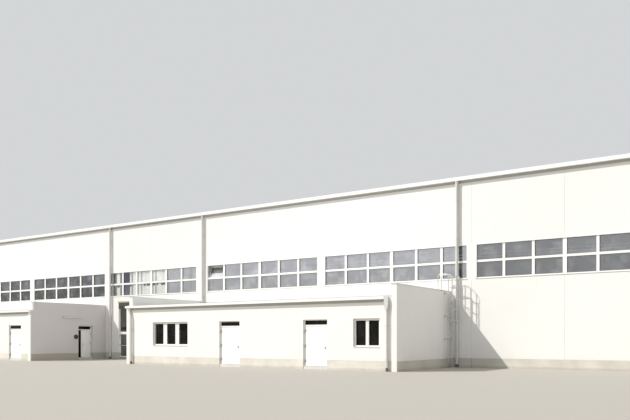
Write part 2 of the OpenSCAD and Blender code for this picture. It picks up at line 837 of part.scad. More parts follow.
module entrance_leaf() {
    color(white) at_entrance_hinge() {
        difference() {
            block([leaf_gap / 2, hinge_out, leaf_z],
                [leaf_gap / 2 + entrance_leaf_w, hinge_out + leaf_t, entrance_leaf_h]);
            entrance_panes(hinge_out - 1, hinge_out + leaf_t + 1);
        }
        leaf_hinges(entrance_leaf_h);
    }
}

module entrance_leaf_glass() {
    y0 = hinge_out + leaf_t / 2 - glass_t / 2;
    color(glazing) at_entrance_hinge() entrance_panes(y0, y0 + glass_t);
}

// Left and right edges of an opening that starts at x
function opening(x, w) = [x, x + w];

right_openings = [
    opening(right_annex_x + wide_window_at, wide_window_w),
    opening(right_annex_x + second_opening_at, door_w),
    opening(right_annex_end - right_door_back, door_w),
    opening(right_annex_end - narrow_window_back, narrow_window_w)];
left_openings = [
    opening(left_annex_start + wide_window_at, wide_window_w),
    opening(left_annex_start + second_opening_at, narrow_window_w),
    opening(left_annex_x - left_door_1_back, door_w),
    opening(left_annex_x - left_door_2_back, door_w)];
front_doors = [right_openings[1], right_openings[2], left_openings[2], left_openings[3]];
wide_windows = [right_openings[0], left_openings[0]];
narrow_windows = [right_openings[3], left_openings[1]];
annex_starts = [right_annex_x, left_annex_start];

module annex_floors() {
    color(concrete) {
        for (x = annex_starts)
            block([x + end_wall_t, front_y + annex_wall_t, 0], [x + annex_l - end_wall_t, -half_d, floor_t]);
        for (d = front_doors)
            block([d[0], front_y + annex_plinth_set, 0], [d[1], front_y + annex_wall_t + 1, floor_t]);
        block([left_annex_x - end_wall_t - 1, end_door_near, 0],
            [left_annex_x - annex_plinth_set, end_door_near + end_door_w, floor_t]);
    }
}

module annex_plinths() {
    color(concrete) {
        difference() {
            for (x = annex_starts)
                block([x + end_wall_t + joint_t, front_y + annex_plinth_set, 0],
                    [x + annex_l - end_wall_t - joint_t, front_y + annex_wall_t, annex_plinth_h]);
            for (d = front_doors)
                block([d[0], front_y - 1, -1], [d[1], front_y + annex_wall_t + 1, annex_plinth_h + 1]);
        }
        difference() {
            for (x = annex_starts) {
                block([x + annex_plinth_set, front_y, 0], [x + end_wall_t, -half_d, annex_plinth_h]);
                block([x + annex_l - end_wall_t, front_y, 0],
                    [x + annex_l - annex_plinth_set, -half_d, annex_plinth_h]);
            }
            block([left_annex_x - 2 * end_wall_t, end_door_near, -1],
                [left_annex_x + 1, end_door_near + end_door_w, annex_plinth_h + 1]);
        }
    }
}

// The front wall of an annex, open at its doors from floor to roof
module annex_front(start, windows, doors) {
    y0 = front_y;
    y1 = front_y + annex_wall_t;
    difference() {
        along_x(start + end_wall_t, start + annex_l - end_wall_t,
            [[y0, annex_plinth_h], [y1, annex_plinth_h], [y1, annex_under(y1)], [y0, annex_under(y0)]]);
        for (w = windows)
            block([w[0], y0 - 1, annex_sill_z], [w[1], y1 + 1, annex_sill_z + annex_window_h]);
        for (d = doors)
            block([d[0], y0 - 1, 0], [d[1], y1 + 1, parapet_h]);
    }
}

module annex_front_walls() {
    color(white) {
        annex_front(right_annex_x, [right_openings[0], right_openings[3]],
            [right_openings[1], right_openings[2]]);
        annex_front(left_annex_start, [left_openings[0], left_openings[1]],
            [left_openings[2], left_openings[3]]);
    }
}

// The inner end walls face each other across the entrance. The gutters run over their front corners,
// and they rise above the roof a little further back.
outer_end_walls = [left_annex_start, right_annex_end - end_wall_t];
inner_end_walls = [left_annex_x - end_wall_t, right_annex_x];
rise_y = front_y - nib_out + rise_at;

// End walls that rise above the roof, each with a narrow foot at the front corner
module annex_end_walls() {
    color(white) difference() {
        for (x = concat(outer_end_walls, inner_end_walls)) {
            block([x, front_y - nib_out, annex_plinth_h], [x + end_wall_t, -half_d, parapet_h]);
            block([x, front_y - nib_out, 0], [x + end_wall_t, front_y, annex_plinth_h + 1]);
        }
        for (x = inner_end_walls) {
            inner = x + end_wall_t + 1;
            block([x - 1, front_y - nib_out - 1, annex_gutter_under], [inner, front_y, parapet_h + 1]);
            block([x - 1, front_y - 1, annex_top(rise_y)], [inner, rise_y, parapet_h + 1]);
        }
        block([left_annex_x - 2 * end_wall_t, end_door_near, 0],
            [left_annex_x + 1, end_door_near + end_door_w, annex_under(end_door_near)]);
    }
}

// Wall over each doorway
module annex_door_heads() {
    y0 = front_y;
    y1 = front_y + annex_wall_t;
    color(white) {
        for (d = front_doors)
            along_x(d[0], d[1], [[y0, door_h], [y1, door_h], [y1, annex_under(y1)], [y0, annex_under(y0)]]);
        block([left_annex_x - end_wall_t, end_door_near, door_h],
            [left_annex_x, end_door_near + end_door_w, annex_under(end_door_near)]);
    }
}

module annex_roofs() {
    y0 = front_y;
    y1 = -half_d;
    color(concrete) for (start = annex_starts)
        along_x(start + end_wall_t, start + annex_l - end_wall_t,
            [[y0, annex_under(y0)], [y1, annex_under(y1)], [y1, annex_top(y1)], [y0, annex_top(y0)]]);
}

annex_gutter_top = annex_roof_low - 10;
annex_gutter_under = annex_gutter_top - annex_gutter_h;
right_head_x = right_annex_end - end_wall_t - head_at;
left_head_x = left_annex_start + end_wall_t + head_at;
gutter_short = head_w / 2 + joint_t;

module annex_gutters() {
    color(white) {
        gutter(right_annex_x, right_head_x - gutter_short, front_y, annex_gutter_top, annex_gutter_h);
        gutter(left_head_x + gutter_short, left_annex_x, front_y, annex_gutter_top, annex_gutter_h);
    }
}

// Rainwater head at the gutter's end, with its pipe
module head_pipe(x) {
    half = head_w / 2;
    flare = 110;
    shoulder = 60;
    top = annex_gutter_top - 10;
    low = top - 320;
    along_y(front_y - gutter_w, front_y, [[x - annex_pipe_r, low], [x + annex_pipe_r, low],
        [x + half, low + flare], [x + half, top - shoulder], [x + half / 2, top],
        [x - half / 2, top], [x - half, top - shoulder], [x - half, low + flare]]);
    translate([x, front_y - annex_pipe_out, 0]) cylinder(h = low + 20, r = annex_pipe_r);
    annex_clips(x);
}

module annex_clips(x) {
    for (z = [clip_pitch / 4, clip_pitch]) pipe_clip(x, front_y, z, annex_pipe_r, annex_pipe_out);
}

// Downpipe that leaves the gutter beside the end wall and swings sideways, away from it
module neck_pipe(x0, x1) {
    y = front_y - annex_pipe_out;
    collar = 3;
    top = [x0, y, annex_gutter_under - neck_drop];
    low = [x1, y, top.z - neck_fall];
    translate(top) cylinder(h = neck_drop, r = annex_pipe_r);
    translate(top) sphere(r = annex_pipe_r + collar);
    tube_xz(low, top, annex_pipe_r);
    translate(low) sphere(r = annex_pipe_r + collar);
    translate([low.x, y, 0]) cylinder(h = low.z, r = annex_pipe_r);
    annex_clips(x1);
}

module annex_downpipes() {
    nib_edge = right_annex_x + end_wall_t;
    color(metal) {
        head_pipe(right_head_x);
        neck_pipe(nib_edge + annex_pipe_r + joint_t, nib_edge + neck_at);
        head_pipe(left_head_x);
    }
}

module annex_window_frame(w, columns, bar) {
    frame_w = w - 2 * seal;
    frame_h = annex_window_h - seal;
    sash_pane = (frame_w - 2 * annex_stile_w - (columns - 1) * bar) / columns;
    translate([seal, annex_frame_set, 0]) {
        difference() {
            cube([frame_w, frame_t, frame_h]);
            translate([annex_stile_w, bar_t, annex_stile_w])
                cube([frame_w - 2 * annex_stile_w, frame_t, frame_h - 2 * annex_stile_w]);
            for (i = [0:columns - 1])
                translate([annex_stile_w + i * (sash_pane + bar), -1, annex_stile_w])
                    cube([sash_pane, frame_t, frame_h - 2 * annex_stile_w]);
        }
        block([0, -annex_frame_set - sill_out, 0], [frame_w, 0.5, sill_t]);
    }
}

module annex_window_glass(w) {
    frame_w = w - 2 * seal;
    frame_h = annex_window_h - seal;
    translate([seal, annex_frame_set, 0])
        block([annex_stile_w, bar_t, annex_stile_w],
            [frame_w - annex_stile_w, bar_t + glass_t, frame_h - annex_stile_w]);
}

module annex_window_frames() {
    color(white) {
        for (w = wide_windows) translate([w[0], front_y, annex_sill_z])
            annex_window_frame(wide_window_w, 3, wide_bar_w);
        for (w = narrow_windows) translate([w[0], front_y, annex_sill_z])
            annex_window_frame(narrow_window_w, 2, narrow_bar_w);
    }
}

// Places the children at a front door, or at the door in the left annex's end wall
module at_front_door(d) {
    translate([d[0], door_y, 0]) children();
}

// The end door's frame, drawn from the edge near the hall with its outside towards -Y
module at_end_door() {
    translate([left_annex_x - end_wall_t + jamb_t, end_door_near, 0]) rotate([0, 0, 90]) children();
}

// Door frame with a light over the leaf, from its lower left corner, its face at y = 0
module door_frame(w, hinges_right) {
    top = door_h - seal;
    rail = leaf_h + leaf_gap;
    difference() {
        block([0, 0, floor_t], [w, jamb_t, top]);
        block([jamb_w, -1, 0], [w - jamb_w, jamb_t + 1, rail]);
        block([jamb_w, -1, rail + transom_w], [w - jamb_w, jamb_t + 1, top - jamb_w / 2]);
    }
    if (hinges_right)
        translate([w, 0, 0]) mirror([1, 0, 0]) frame_hinges(jamb_w, 0, leaf_h);
    else
        frame_hinges(jamb_w, 0, leaf_h);
}

module door_light(w) {
    top = door_h - seal;
    low = leaf_h + leaf_gap + transom_w;
    y0 = (jamb_t - glass_t) / 2;
    block([jamb_w, y0, low], [w - jamb_w, y0 + glass_t, top - jamb_w / 2]);
}

module annex_door_frames() {
    color(white) {
        for (d = front_doors) at_front_door(d) door_frame(door_w, false);
        at_end_door() door_frame(end_door_w, true);
    }
}

module annex_glass() {
    color(glazing) {
        for (w = wide_windows) translate([w[0], front_y, annex_sill_z]) annex_window_glass(wide_window_w);
        for (w = narrow_windows) translate([w[0], front_y, annex_sill_z]) annex_window_glass(narrow_window_w);
        for (d = front_doors) at_front_door(d) door_light(door_w);
        at_end_door() door_light(end_door_w);
    }
}

// A closed front door, hung on its left
module front_door(d) {
    color(white) at_front_door(d) translate([jamb_w + leaf_gap / 2, -hinge_out, 0])
        leaf(door_w - 2 * jamb_w, leaf_h);
}

module right_door_1() {
    front_door(right_openings[1]);
}

module right_door_2() {
    front_door(right_openings[2]);
}

module left_door_1() {
    front_door(left_openings[2]);
}

module left_door_2() {
    front_door(left_openings[3]);
}

// The end door, hung on the side near the hall and standing ajar
module left_end_door() {
    color(white) at_end_door() translate([end_door_w - jamb_w - leaf_gap / 2, -hinge_out, 0])
        rotate([0, 0, end_door_ajar]) mirror([1, 0, 0]) leaf(end_door_w - 2 * jamb_w, leaf_h);
}

// Ladder on the right annex's end wall; its rails turn over the wall and come down to the annex roof
ladder_x = right_annex_end + ladder_out;
ladder_mid = -half_d - ladder_y;

module ladder_rail(y) {
    back_x = ladder_x - 2 * rail_bend - rail_run;
    bend_z = ladder_top - rail_bend;
    translate([ladder_x, y, ladder_foot]) cylinder(h = bend_z - ladder_foot, r = rail_r);
    translate([ladder_x - rail_bend, y, bend_z]) rotate([90, 0, 0]) rail_quarter();
    translate([ladder_x - rail_bend - rail_run, y, ladder_top]) rotate([0, 90, 0])
        cylinder(h = rail_run, r = rail_r);
    translate([back_x + rail_bend, y, bend_z]) rotate([90, 0, 0]) rotate([0, 0, 90]) rail_quarter();
    difference() {
        translate([back_x, y, annex_roof_low]) cylinder(h = bend_z - annex_roof_low, r = rail_r);
        along_x(back_x - 2 * rail_r, back_x + 2 * rail_r,
            [[front_y, 0], [-half_d, 0], [-half_d, annex_top(-half_d) + bed],
                [front_y, annex_top(front_y) + bed]]);
    }
}

module rail_quarter() {
    rotate_extrude(angle = 90) translate([rail_bend, 0]) circle(r = rail_r);
}

module roof_ladder() {
    color(metal) {
        for (side = [-1, 1]) {
            y = ladder_mid + side * ladder_w / 2;
            ladder_rail(y);
            for (i = [0:2]) {
                z = parapet_h - bracket_drop - i * bracket_pitch;
                block([right_annex_end, y - rail_r / 2, z], [ladder_x, y + rail_r / 2, z + 2 * rail_r]);
                block([right_annex_end, y - 2 * rail_r, z - 2 * rail_r],
                    [right_annex_end + flashing_t, y + 2 * rail_r, z + 4 * rail_r]);
            }
        }
        for (z = [ladder_foot + rung_pitch / 2:rung_pitch:parapet_h])
            translate([ladder_x, ladder_mid - ladder_w / 2, z]) rotate([-90, 0, 0])
                cylinder(h = ladder_w, r = rung_r);
    }
}

// Hoops round the ladder on the outer sides of its rails, joined by upright flat bars inside them
cage_set = sqrt(pow(cage_r - strap_t, 2) - pow(ladder_w / 2 + rail_r, 2));

module cage_hoop() {
    arm_y = ladder_w / 2 + rail_r;
    difference() {
        cylinder(h = strap_w, r = cage_r);
        translate([0, 0, -1]) cylinder(h = strap_w + 2, r = cage_r - strap_t);
        block([-2 * cage_r, -cage_r - 1, -1], [-cage_set + strap_t / 2, cage_r + 1, strap_w + 1]);
    }
    for (side = [-1, 1])
        block([-cage_set - rail_r, side * arm_y, 0],
            [-cage_set + strap_t, side * (arm_y + strap_t), strap_w]);
}

module ladder_cage() {
    strap_angles = [-80, -40, 0, 40, 80];
    last_hoop = cage_foot + hoop_pitch * floor((ladder_top - rail_bend - cage_foot) / hoop_pitch);
    strap_seat = 2;
    strap_end = 3;
    strap_inner = cage_r - 2 * strap_t + strap_seat;
    color(metal) translate([ladder_x + cage_set, ladder_mid, 0]) {
        for (z = [cage_foot:hoop_pitch:last_hoop]) translate([0, 0, z]) cage_hoop();
        for (angle = strap_angles) rotate([0, 0, angle])
            block([strap_inner, -strap_w / 2, cage_foot + strap_end],
                [strap_inner + strap_t, strap_w / 2, last_hoop + strap_w - strap_end]);
    }
}

// Long lamp on the left annex's end wall, on two brackets
module wall_lamp() {
    lamp_h = 36;
    out = 60;
    middle = -half_d - lamp_y;
    color(metal) {
        block([left_annex_x + out / 2, middle - lamp_l / 2, lamp_z],
            [left_annex_x + out, middle + lamp_l / 2, lamp_z + lamp_h]);
        for (end = [-1, 1])
            block([left_annex_x, middle + end * lamp_l / 3 - 15, lamp_z + lamp_h / 3],
                [left_annex_x + out / 2 + 1, middle + end * lamp_l / 3 + 15, lamp_z + lamp_h]);
    }
}

// Round fitting beside the end door, a dished drum on the wall
module wall_disc() {
    drum_t = 55;
    rim_t = 12;
    color("dimgray") translate([left_annex_x, -half_d - round_y, round_z]) rotate([0, 90, 0]) {
        cylinder(h = rim_t, r = round_r);
        cylinder(h = drum_t, r = 0.8 * round_r);
    }
}

hall_plinth();
hall_floor();
front_lower_panels();
front_upper_panels();
back_panels();
gable_panels();
window_piers();
hall_columns();
roof_beams();
edge_beams();
wind_braces();
roof_front_slope();
roof_back_slope();
roof_flashings();
hall_gutters();
hall_downpipes();
front_window_frames();
front_window_glass();
rear_window_frames();
rear_window_glass();
open_sash();
entrance_frame();
entrance_glass();
entrance_leaf();
entrance_leaf_glass();
annex_floors();
annex_plinths();
annex_front_walls();
annex_end_walls();
annex_door_heads();
annex_roofs();
annex_gutters();
annex_downpipes();
annex_window_frames();
annex_glass();
annex_door_frames();
right_door_1();
right_door_2();
left_door_1();
left_door_2();
left_end_door();
roof_ladder();
ladder_cage();
wall_lamp();
wall_disc();
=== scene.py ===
"""Finishes, fittings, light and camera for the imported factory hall.

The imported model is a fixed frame. Its solids keep their shape, and every piece that is added here is
measured from them. Lengths are in metres, and a wall is named as someone outside in front sees it.
"""

import json
import logging
import math
from abc import ABC, abstractmethod
from collections.abc import Iterable, Iterator, Sequence
from dataclasses import dataclass, field
from enum import Enum
from functools import cached_property
from typing import Any

import bmesh
import bpy
from mathutils import Matrix, Vector


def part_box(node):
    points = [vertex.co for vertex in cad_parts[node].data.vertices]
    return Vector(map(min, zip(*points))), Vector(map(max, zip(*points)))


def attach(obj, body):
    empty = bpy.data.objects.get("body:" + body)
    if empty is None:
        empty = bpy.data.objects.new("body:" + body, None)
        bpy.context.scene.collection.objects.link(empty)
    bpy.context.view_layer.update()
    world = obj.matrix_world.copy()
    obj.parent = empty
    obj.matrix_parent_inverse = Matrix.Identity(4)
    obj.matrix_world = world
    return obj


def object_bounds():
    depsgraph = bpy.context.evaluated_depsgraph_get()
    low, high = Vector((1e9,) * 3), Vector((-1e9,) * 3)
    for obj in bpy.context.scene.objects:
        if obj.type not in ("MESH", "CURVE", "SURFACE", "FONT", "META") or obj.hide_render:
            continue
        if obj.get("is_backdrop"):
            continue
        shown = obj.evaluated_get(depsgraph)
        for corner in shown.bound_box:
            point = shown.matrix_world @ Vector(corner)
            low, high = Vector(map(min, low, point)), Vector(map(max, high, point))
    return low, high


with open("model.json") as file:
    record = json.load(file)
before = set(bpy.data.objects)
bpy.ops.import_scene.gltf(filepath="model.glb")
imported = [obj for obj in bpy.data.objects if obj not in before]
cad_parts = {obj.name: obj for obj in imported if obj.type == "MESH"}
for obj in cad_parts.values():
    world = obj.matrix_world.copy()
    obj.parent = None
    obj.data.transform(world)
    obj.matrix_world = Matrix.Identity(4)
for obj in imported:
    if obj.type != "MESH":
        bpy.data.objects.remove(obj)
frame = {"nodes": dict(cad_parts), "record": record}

LOG = logging.getLogger("factory_hall")
BUILDING = "building"
UP = Vector((0.0, 0.0, 1.0))
OUT = Vector((0.0, -1.0, 0.0))
ALONG = Vector((1.0, 0.0, 0.0))
# Points closer than WELD are one point, and points closer than NEAR lie in one plane
WELD = 1e-5
NEAR = 1e-3
# Decimals of a metre to which places are compared
DECIMALS = 4
# Angle in radians past which an edge gets a chamfer
SHARP = 0.9
# Corners of one pane
PANE_CORNERS = 4
Colour = tuple[float, float, float]
# Lowest and highest corner of a box, and how far painted shade darkens the surface in it
ShadeBox = tuple[Vector, Vector, float]


# Measuring the frame


class Wall(Enum):
    """The hall's four walls, by the turn in degrees that takes the front wall to them."""

    FRONT = 0.0
    RIGHT = 90.0
    BACK = 180.0
    LEFT = 270.0

    @property
    def turn(self) -> float:
        """The turn in radians."""
        return math.radians(self.value)

    @property
    def matrix(self) -> Matrix:
        """The turn as a matrix, from the front wall to this one."""
        return Matrix.Rotation(self.turn, 4, "Z")


@dataclass(frozen=True)
class Solid:
    """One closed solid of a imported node, or some points of it."""

    points: tuple[Vector, ...]

    @property
    def low(self) -> Vector:
        """Lowest corner of the solid's box."""
        return Vector(tuple(min(p[i] for p in self.points) for i in range(3)))

    @property
    def high(self) -> Vector:
        """Highest corner of the solid's box."""
        return Vector(tuple(max(p[i] for p in self.points) for i in range(3)))

    @property
    def middle(self) -> Vector:
        """Centre of the solid's box."""
        return (self.low + self.high) / 2

    @property
    def size(self) -> Vector:
        """Sizes of the solid's box."""
        return self.high - self.low

    def seen_on(self, wall: Wall) -> "Solid":
        """The solid as it would stand if the wall that it is on were turned to the front."""
        back = wall.matrix.inverted()
        return Solid(tuple(back @ p for p in self.points))


def solids_of(node: str) -> list[Solid]:
    """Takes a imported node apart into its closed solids.

    Args:
        node: The node's name.

    Returns:
        The solids, ordered by their lowest corners.
    """
    shape = bmesh.new()
    shape.from_mesh(frame["nodes"][node].data)
    bmesh.ops.remove_doubles(shape, verts=shape.verts, dist=WELD)
    waiting = dict.fromkeys(shape.verts)
    found = []
    while waiting:
        group = [waiting.popitem()[0]]
        for vertex in group:
            for other in (edge.other_vert(vertex) for edge in vertex.link_edges):
                if other in waiting:
                    del waiting[other]
                    group.append(other)
        found.append(Solid(tuple(v.co.copy() for v in group)))
    shape.free()
    return sorted(found, key=lambda solid: tuple(round(value, DECIMALS) for value in solid.low))


def wall_of(solid: Solid, half_length: float) -> Wall:
    """Says which of the hall's walls a solid is on.

    Args:
        solid: A solid in a wall.
        half_length: Distance from the middle of the hall to a gable's inner face.

    Returns:
        The wall.
    """
    middle = solid.middle
    if abs(middle.x) > half_length:
        return Wall.RIGHT if middle.x > 0 else Wall.LEFT
    return Wall.BACK if middle.y > 0 else Wall.FRONT


@dataclass(frozen=True)
class Pane:
    """An opening in a window frame, on a wall that is turned to the front."""

    left: float
    right: float
    foot: float
    head: float
    face: float

    @property
    def width(self) -> float:
        """Width of the opening."""
        return self.right - self.left

    @property
    def height(self) -> float:
        """Height of the opening."""
        return self.head - self.foot

    def corners(self, inset: float, depth: float) -> list[Vector]:
        """The pane's corners, drawn in from its edges.

        Args:
            inset: Distance from the pane's edges.
            depth: Distance behind the frame's face.

        Returns:
            The four corners, in turn.
        """
        y = self.face + depth
        across, along = (self.left + inset, self.right - inset), (self.foot + inset, self.head - inset)
        return [Vector((across[0], y, along[0])), Vector((across[1], y, along[0])),
                Vector((across[1], y, along[1])), Vector((across[0], y, along[1]))]


def levels_of(points: Iterable[Vector], axis: int) -> dict[float, list[Vector]]:
    """Sorts points by their place along an axis.

    Args:
        points: The points.
        axis: The axis, 0 for X, 1 for Y and 2 for Z.

    Returns:
        The points of each place.
    """
    levels: dict[float, list[Vector]] = {}
    for point in points:
        levels.setdefault(round(point[axis], DECIMALS), []).append(point)
    return levels


def panes_of(solid: Solid) -> list[Pane]:
    """Reads the panes of a window frame from the corners in its face.

    Args:
        solid: The frame, seen on a wall that is turned to the front.

    Returns:
        The panes, row by row from the foot, each row from left to right.
    """
    inner = [p for p in solid.points if solid.low.x + NEAR < p.x < solid.high.x - NEAR]
    planes = levels_of(inner, 1)
    face = min(y for y, points in planes.items() if len(points) >= PANE_CORNERS)
    across, along = sorted(levels_of(planes[face], 0)), sorted(levels_of(planes[face], 2))
    return [Pane(left, right, foot, head, face)
            for foot, head in zip(along[::2], along[1::2])
            for left, right in zip(across[::2], across[1::2])]


def windows_of(node: str) -> Iterator[tuple[Wall, list[Pane]]]:
    """The windows of a node, each with its wall and its panes.

    Args:
        node: The node of the frames.

    Yields:
        A wall and the panes of one window in it.
    """
    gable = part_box("hall_floor")[1].x
    for solid in solids_of(node):
        wall = wall_of(solid, gable)
        yield wall, panes_of(solid.seen_on(wall))


def pane_before(glass: Solid) -> Pane:
    """The outer face of a sheet of glass, on a wall that is turned to the front."""
    return Pane(glass.low.x, glass.high.x, glass.low.z, glass.high.z, glass.low.y)


def runs_in(values: Iterable[float], gap: float) -> list[tuple[float, float]]:
    """Splits numbers where they lie far apart.

    Args:
        values: The numbers.
        gap: Distance that starts a new run.

    Returns:
        The lowest and the highest number of each run.
    """
    runs: list[list[float]] = []
    for value in sorted(values):
        if runs and value - runs[-1][-1] < gap:
            runs[-1].append(value)
        else:
            runs.append([value])
    return [(run[0], run[-1]) for run in runs]


# Node trees


class Wire:
    """An output socket, on which sums add Math nodes."""

    def __init__(self, bench: "Bench", socket: bpy.types.NodeSocket) -> None:
        """Keeps the socket and the bench that it belongs to."""
        self.bench = bench
        self.socket = socket

    def math(self, operation: str, *values: Any) -> "Wire":
        """A Math node's result for numbers or wires in the order of its sockets."""
        return self.bench.add("ShaderNodeMath", {"operation": operation}, dict(enumerate(values)))

    def __add__(self, other: Any) -> "Wire":
        """This value plus another."""
        return self.math("ADD", self, other)

    __radd__ = __add__

    def __sub__(self, other: Any) -> "Wire":
        """This value less another."""
        return self.math("SUBTRACT", self, other)

    def __rsub__(self, other: Any) -> "Wire":
        """Another value less this one."""
        return self.math("SUBTRACT", other, self)

    def __mul__(self, other: Any) -> "Wire":
        """This value times another."""
        return self.math("MULTIPLY", self, other)

    __rmul__ = __mul__

    def __truediv__(self, other: Any) -> "Wire":
        """This value divided by another."""
        return self.math("DIVIDE", self, other)

    def below(self, edge: Any) -> "Wire":
        """1 where this value is under an edge, and else 0."""
        return self.math("LESS_THAN", self, edge)

    def above(self, edge: Any) -> "Wire":
        """1 where this value is over an edge, and else 0."""
        return self.math("GREATER_THAN", self, edge)

    def floor(self) -> "Wire":
        """This value rounded down."""
        return self.math("FLOOR", self)

    def root(self) -> "Wire":
        """The square root of this value."""
        return self.math("SQRT", self)

    def fade(self, low: Any, high: Any) -> "Wire":
        """A soft step, from 0 where this value is low to 1 where it is high."""
        return self.bench.add("ShaderNodeMapRange", {"interpolation_type": "SMOOTHSTEP"},
                              {"Value": self, "From Min": low, "From Max": high})


class Bench:
    """Adds nodes to a tree."""

    def __init__(self, tree: bpy.types.NodeTree) -> None:
        """Keeps the tree."""
        self.tree = tree

    def add(self, kind: str, settings: dict[str, Any] | None = None,
            values: dict[str | int, Any] | None = None, output: str | int = 0) -> Wire:
        """Adds a node.

        Args:
            kind: The node's type.
            settings: The node's own settings, such as a Math node's operation.
            values: Numbers, colours or wires for its sockets, by name or place.
            output: The output that is wanted, by name or place.

        Returns:
            The output.
        """
        node = self.tree.nodes.new(kind)
        for name, value in (settings or {}).items():
            setattr(node, name, value)
        for key, value in (values or {}).items():
            self.feed(node.inputs[key], value)
        return Wire(self, node.outputs[output])

    def feed(self, socket: bpy.types.NodeSocket, value: Any) -> None:
        """Links a wire to a socket, or sets the socket's value.

        Args:
            socket: The socket.
            value: A wire, a number or a colour.
        """
        if isinstance(value, Wire):
            self.tree.links.new(value.socket, socket)
        elif socket.type == "RGBA":
            socket.default_value = (*value[:3], 1.0)
        else:
            socket.default_value = value

    def combine(self, x: Any, y: Any, z: Any) -> Wire:
        """A vector from three numbers or wires."""
        return self.add("ShaderNodeCombineXYZ", None, {"X": x, "Y": y, "Z": z})


class Paint(Bench):
    """A material's tree, with the patterns that the finishes share."""

    @cached_property
    def place(self) -> Wire:
        """The place on the model, in metres."""
        return self.add("ShaderNodeTexCoord", None, None, "Object")

    @cached_property
    def axes(self) -> tuple[Wire, ...]:
        """The three numbers of the place."""
        return self.split(self.place)

    def split(self, vector: Wire) -> tuple[Wire, ...]:
        """The three numbers of a vector."""
        node = self.add("ShaderNodeSeparateXYZ", None, {"Vector": vector}).socket.node
        return tuple(Wire(self, output) for output in node.outputs)

    def facing_up(self) -> Wire:
        """How far the surface looks up, from -1 to 1."""
        return self.split(self.add("ShaderNodeNewGeometry", None, None, "Normal"))[2]

    def noise(self, scale: float, detail: float = 2.0, roughness: float = 0.5,
              place: Wire | None = None) -> Wire:
        """Noise from 0 to 1, by its clouds in a metre and the number and strength of its layers."""
        values = {"Scale": scale, "Detail": detail, "Roughness": roughness}
        return self.add("ShaderNodeTexNoise", None, {"Vector": place or self.place, **values}, "Fac")

    def drawn(self, scales: tuple[float, float, float], detail: float = 2.0, roughness: float = 0.5,
              place: Wire | None = None) -> Wire:
        """Noise that is drawn out, by its clouds in a metre along each axis."""
        scaled = self.add("ShaderNodeMapping", None, {"Vector": place or self.place, "Scale": scales})
        return self.noise(1.0, detail, roughness, scaled)

    def cells(self, scale: float, output: str = "Distance") -> Wire:
        """Distance from the middle of the nearest cell, or that cell's colour."""
        return self.add("ShaderNodeTexVoronoi", None, {"Vector": self.place, "Scale": scale}, output)

    def within(self, low: Sequence[float], high: Sequence[float]) -> Wire:
        """1 inside a box and 0 outside it.

        Args:
            low: The box's lowest corner.
            high: Its highest corner.

        Returns:
            The mask.
        """
        inside: Any = 1.0
        for value, least, most in zip(self.axes, low, high):
            inside = value.above(least) * value.below(most) * inside
        return inside

    def mix(self, under: Any, over: Any, share: Any) -> Wire:
        """A colour with another laid over it, by the share of the upper one that shows."""
        return self.add("ShaderNodeMix", {"data_type": "RGBA"}, {0: share, 6: under, 7: over}, 2)

    def shaded_in(self, tone: Wire, boxes: Sequence[ShadeBox], grey: Colour) -> Wire:
        """Darkens a colour inside some boxes with painted shade.

        Args:
            tone: The colour.
            boxes: The boxes, each with how far painted shade darkens it.
            grey: The colour of the painted shade.

        Returns:
            The colour with its painted shade.
        """
        for low, high, share in boxes:
            tone = self.mix(tone, grey, self.within(low, high) * share)
        return tone

    def bump(self, height: Any, depth: float, strength: float = 1.0) -> Wire:
        """A normal for a relief from 0 to 1 that is this deep in metres."""
        return self.add("ShaderNodeBump", None,
                        {"Height": height, "Distance": depth, "Strength": strength})


# Finishes


def shade(tone: Colour, factor: float) -> Colour:
    """A colour made lighter or darker by a factor."""
    return tuple(min(1.0, value * factor) for value in tone)


@dataclass(frozen=True)
class Finish(ABC):
    """What a surface is made of. Each kind paints its own pattern."""

    name: str
    tone: Colour
    rough: float = 0.5

    def material(self) -> bpy.types.Material:
        """Builds the material.

        Returns:
            The material, with one Principled shader.
        """
        made = bpy.data.materials.new(self.name)
        made.use_nodes = True
        made.node_tree.nodes.clear()
        paint = Paint(made.node_tree)
        surface = paint.add("ShaderNodeBsdfPrincipled", None, self.sockets(paint))
        end = made.node_tree.nodes.new("ShaderNodeOutputMaterial")
        made.node_tree.links.new(surface.socket, end.inputs["Surface"])
        return made

    @abstractmethod
    def sockets(self, paint: Paint) -> dict[str, Any]:
        """Paints the pattern.

        Args:
            paint: The material's tree.

        Returns:
            The shader's inputs.
        """


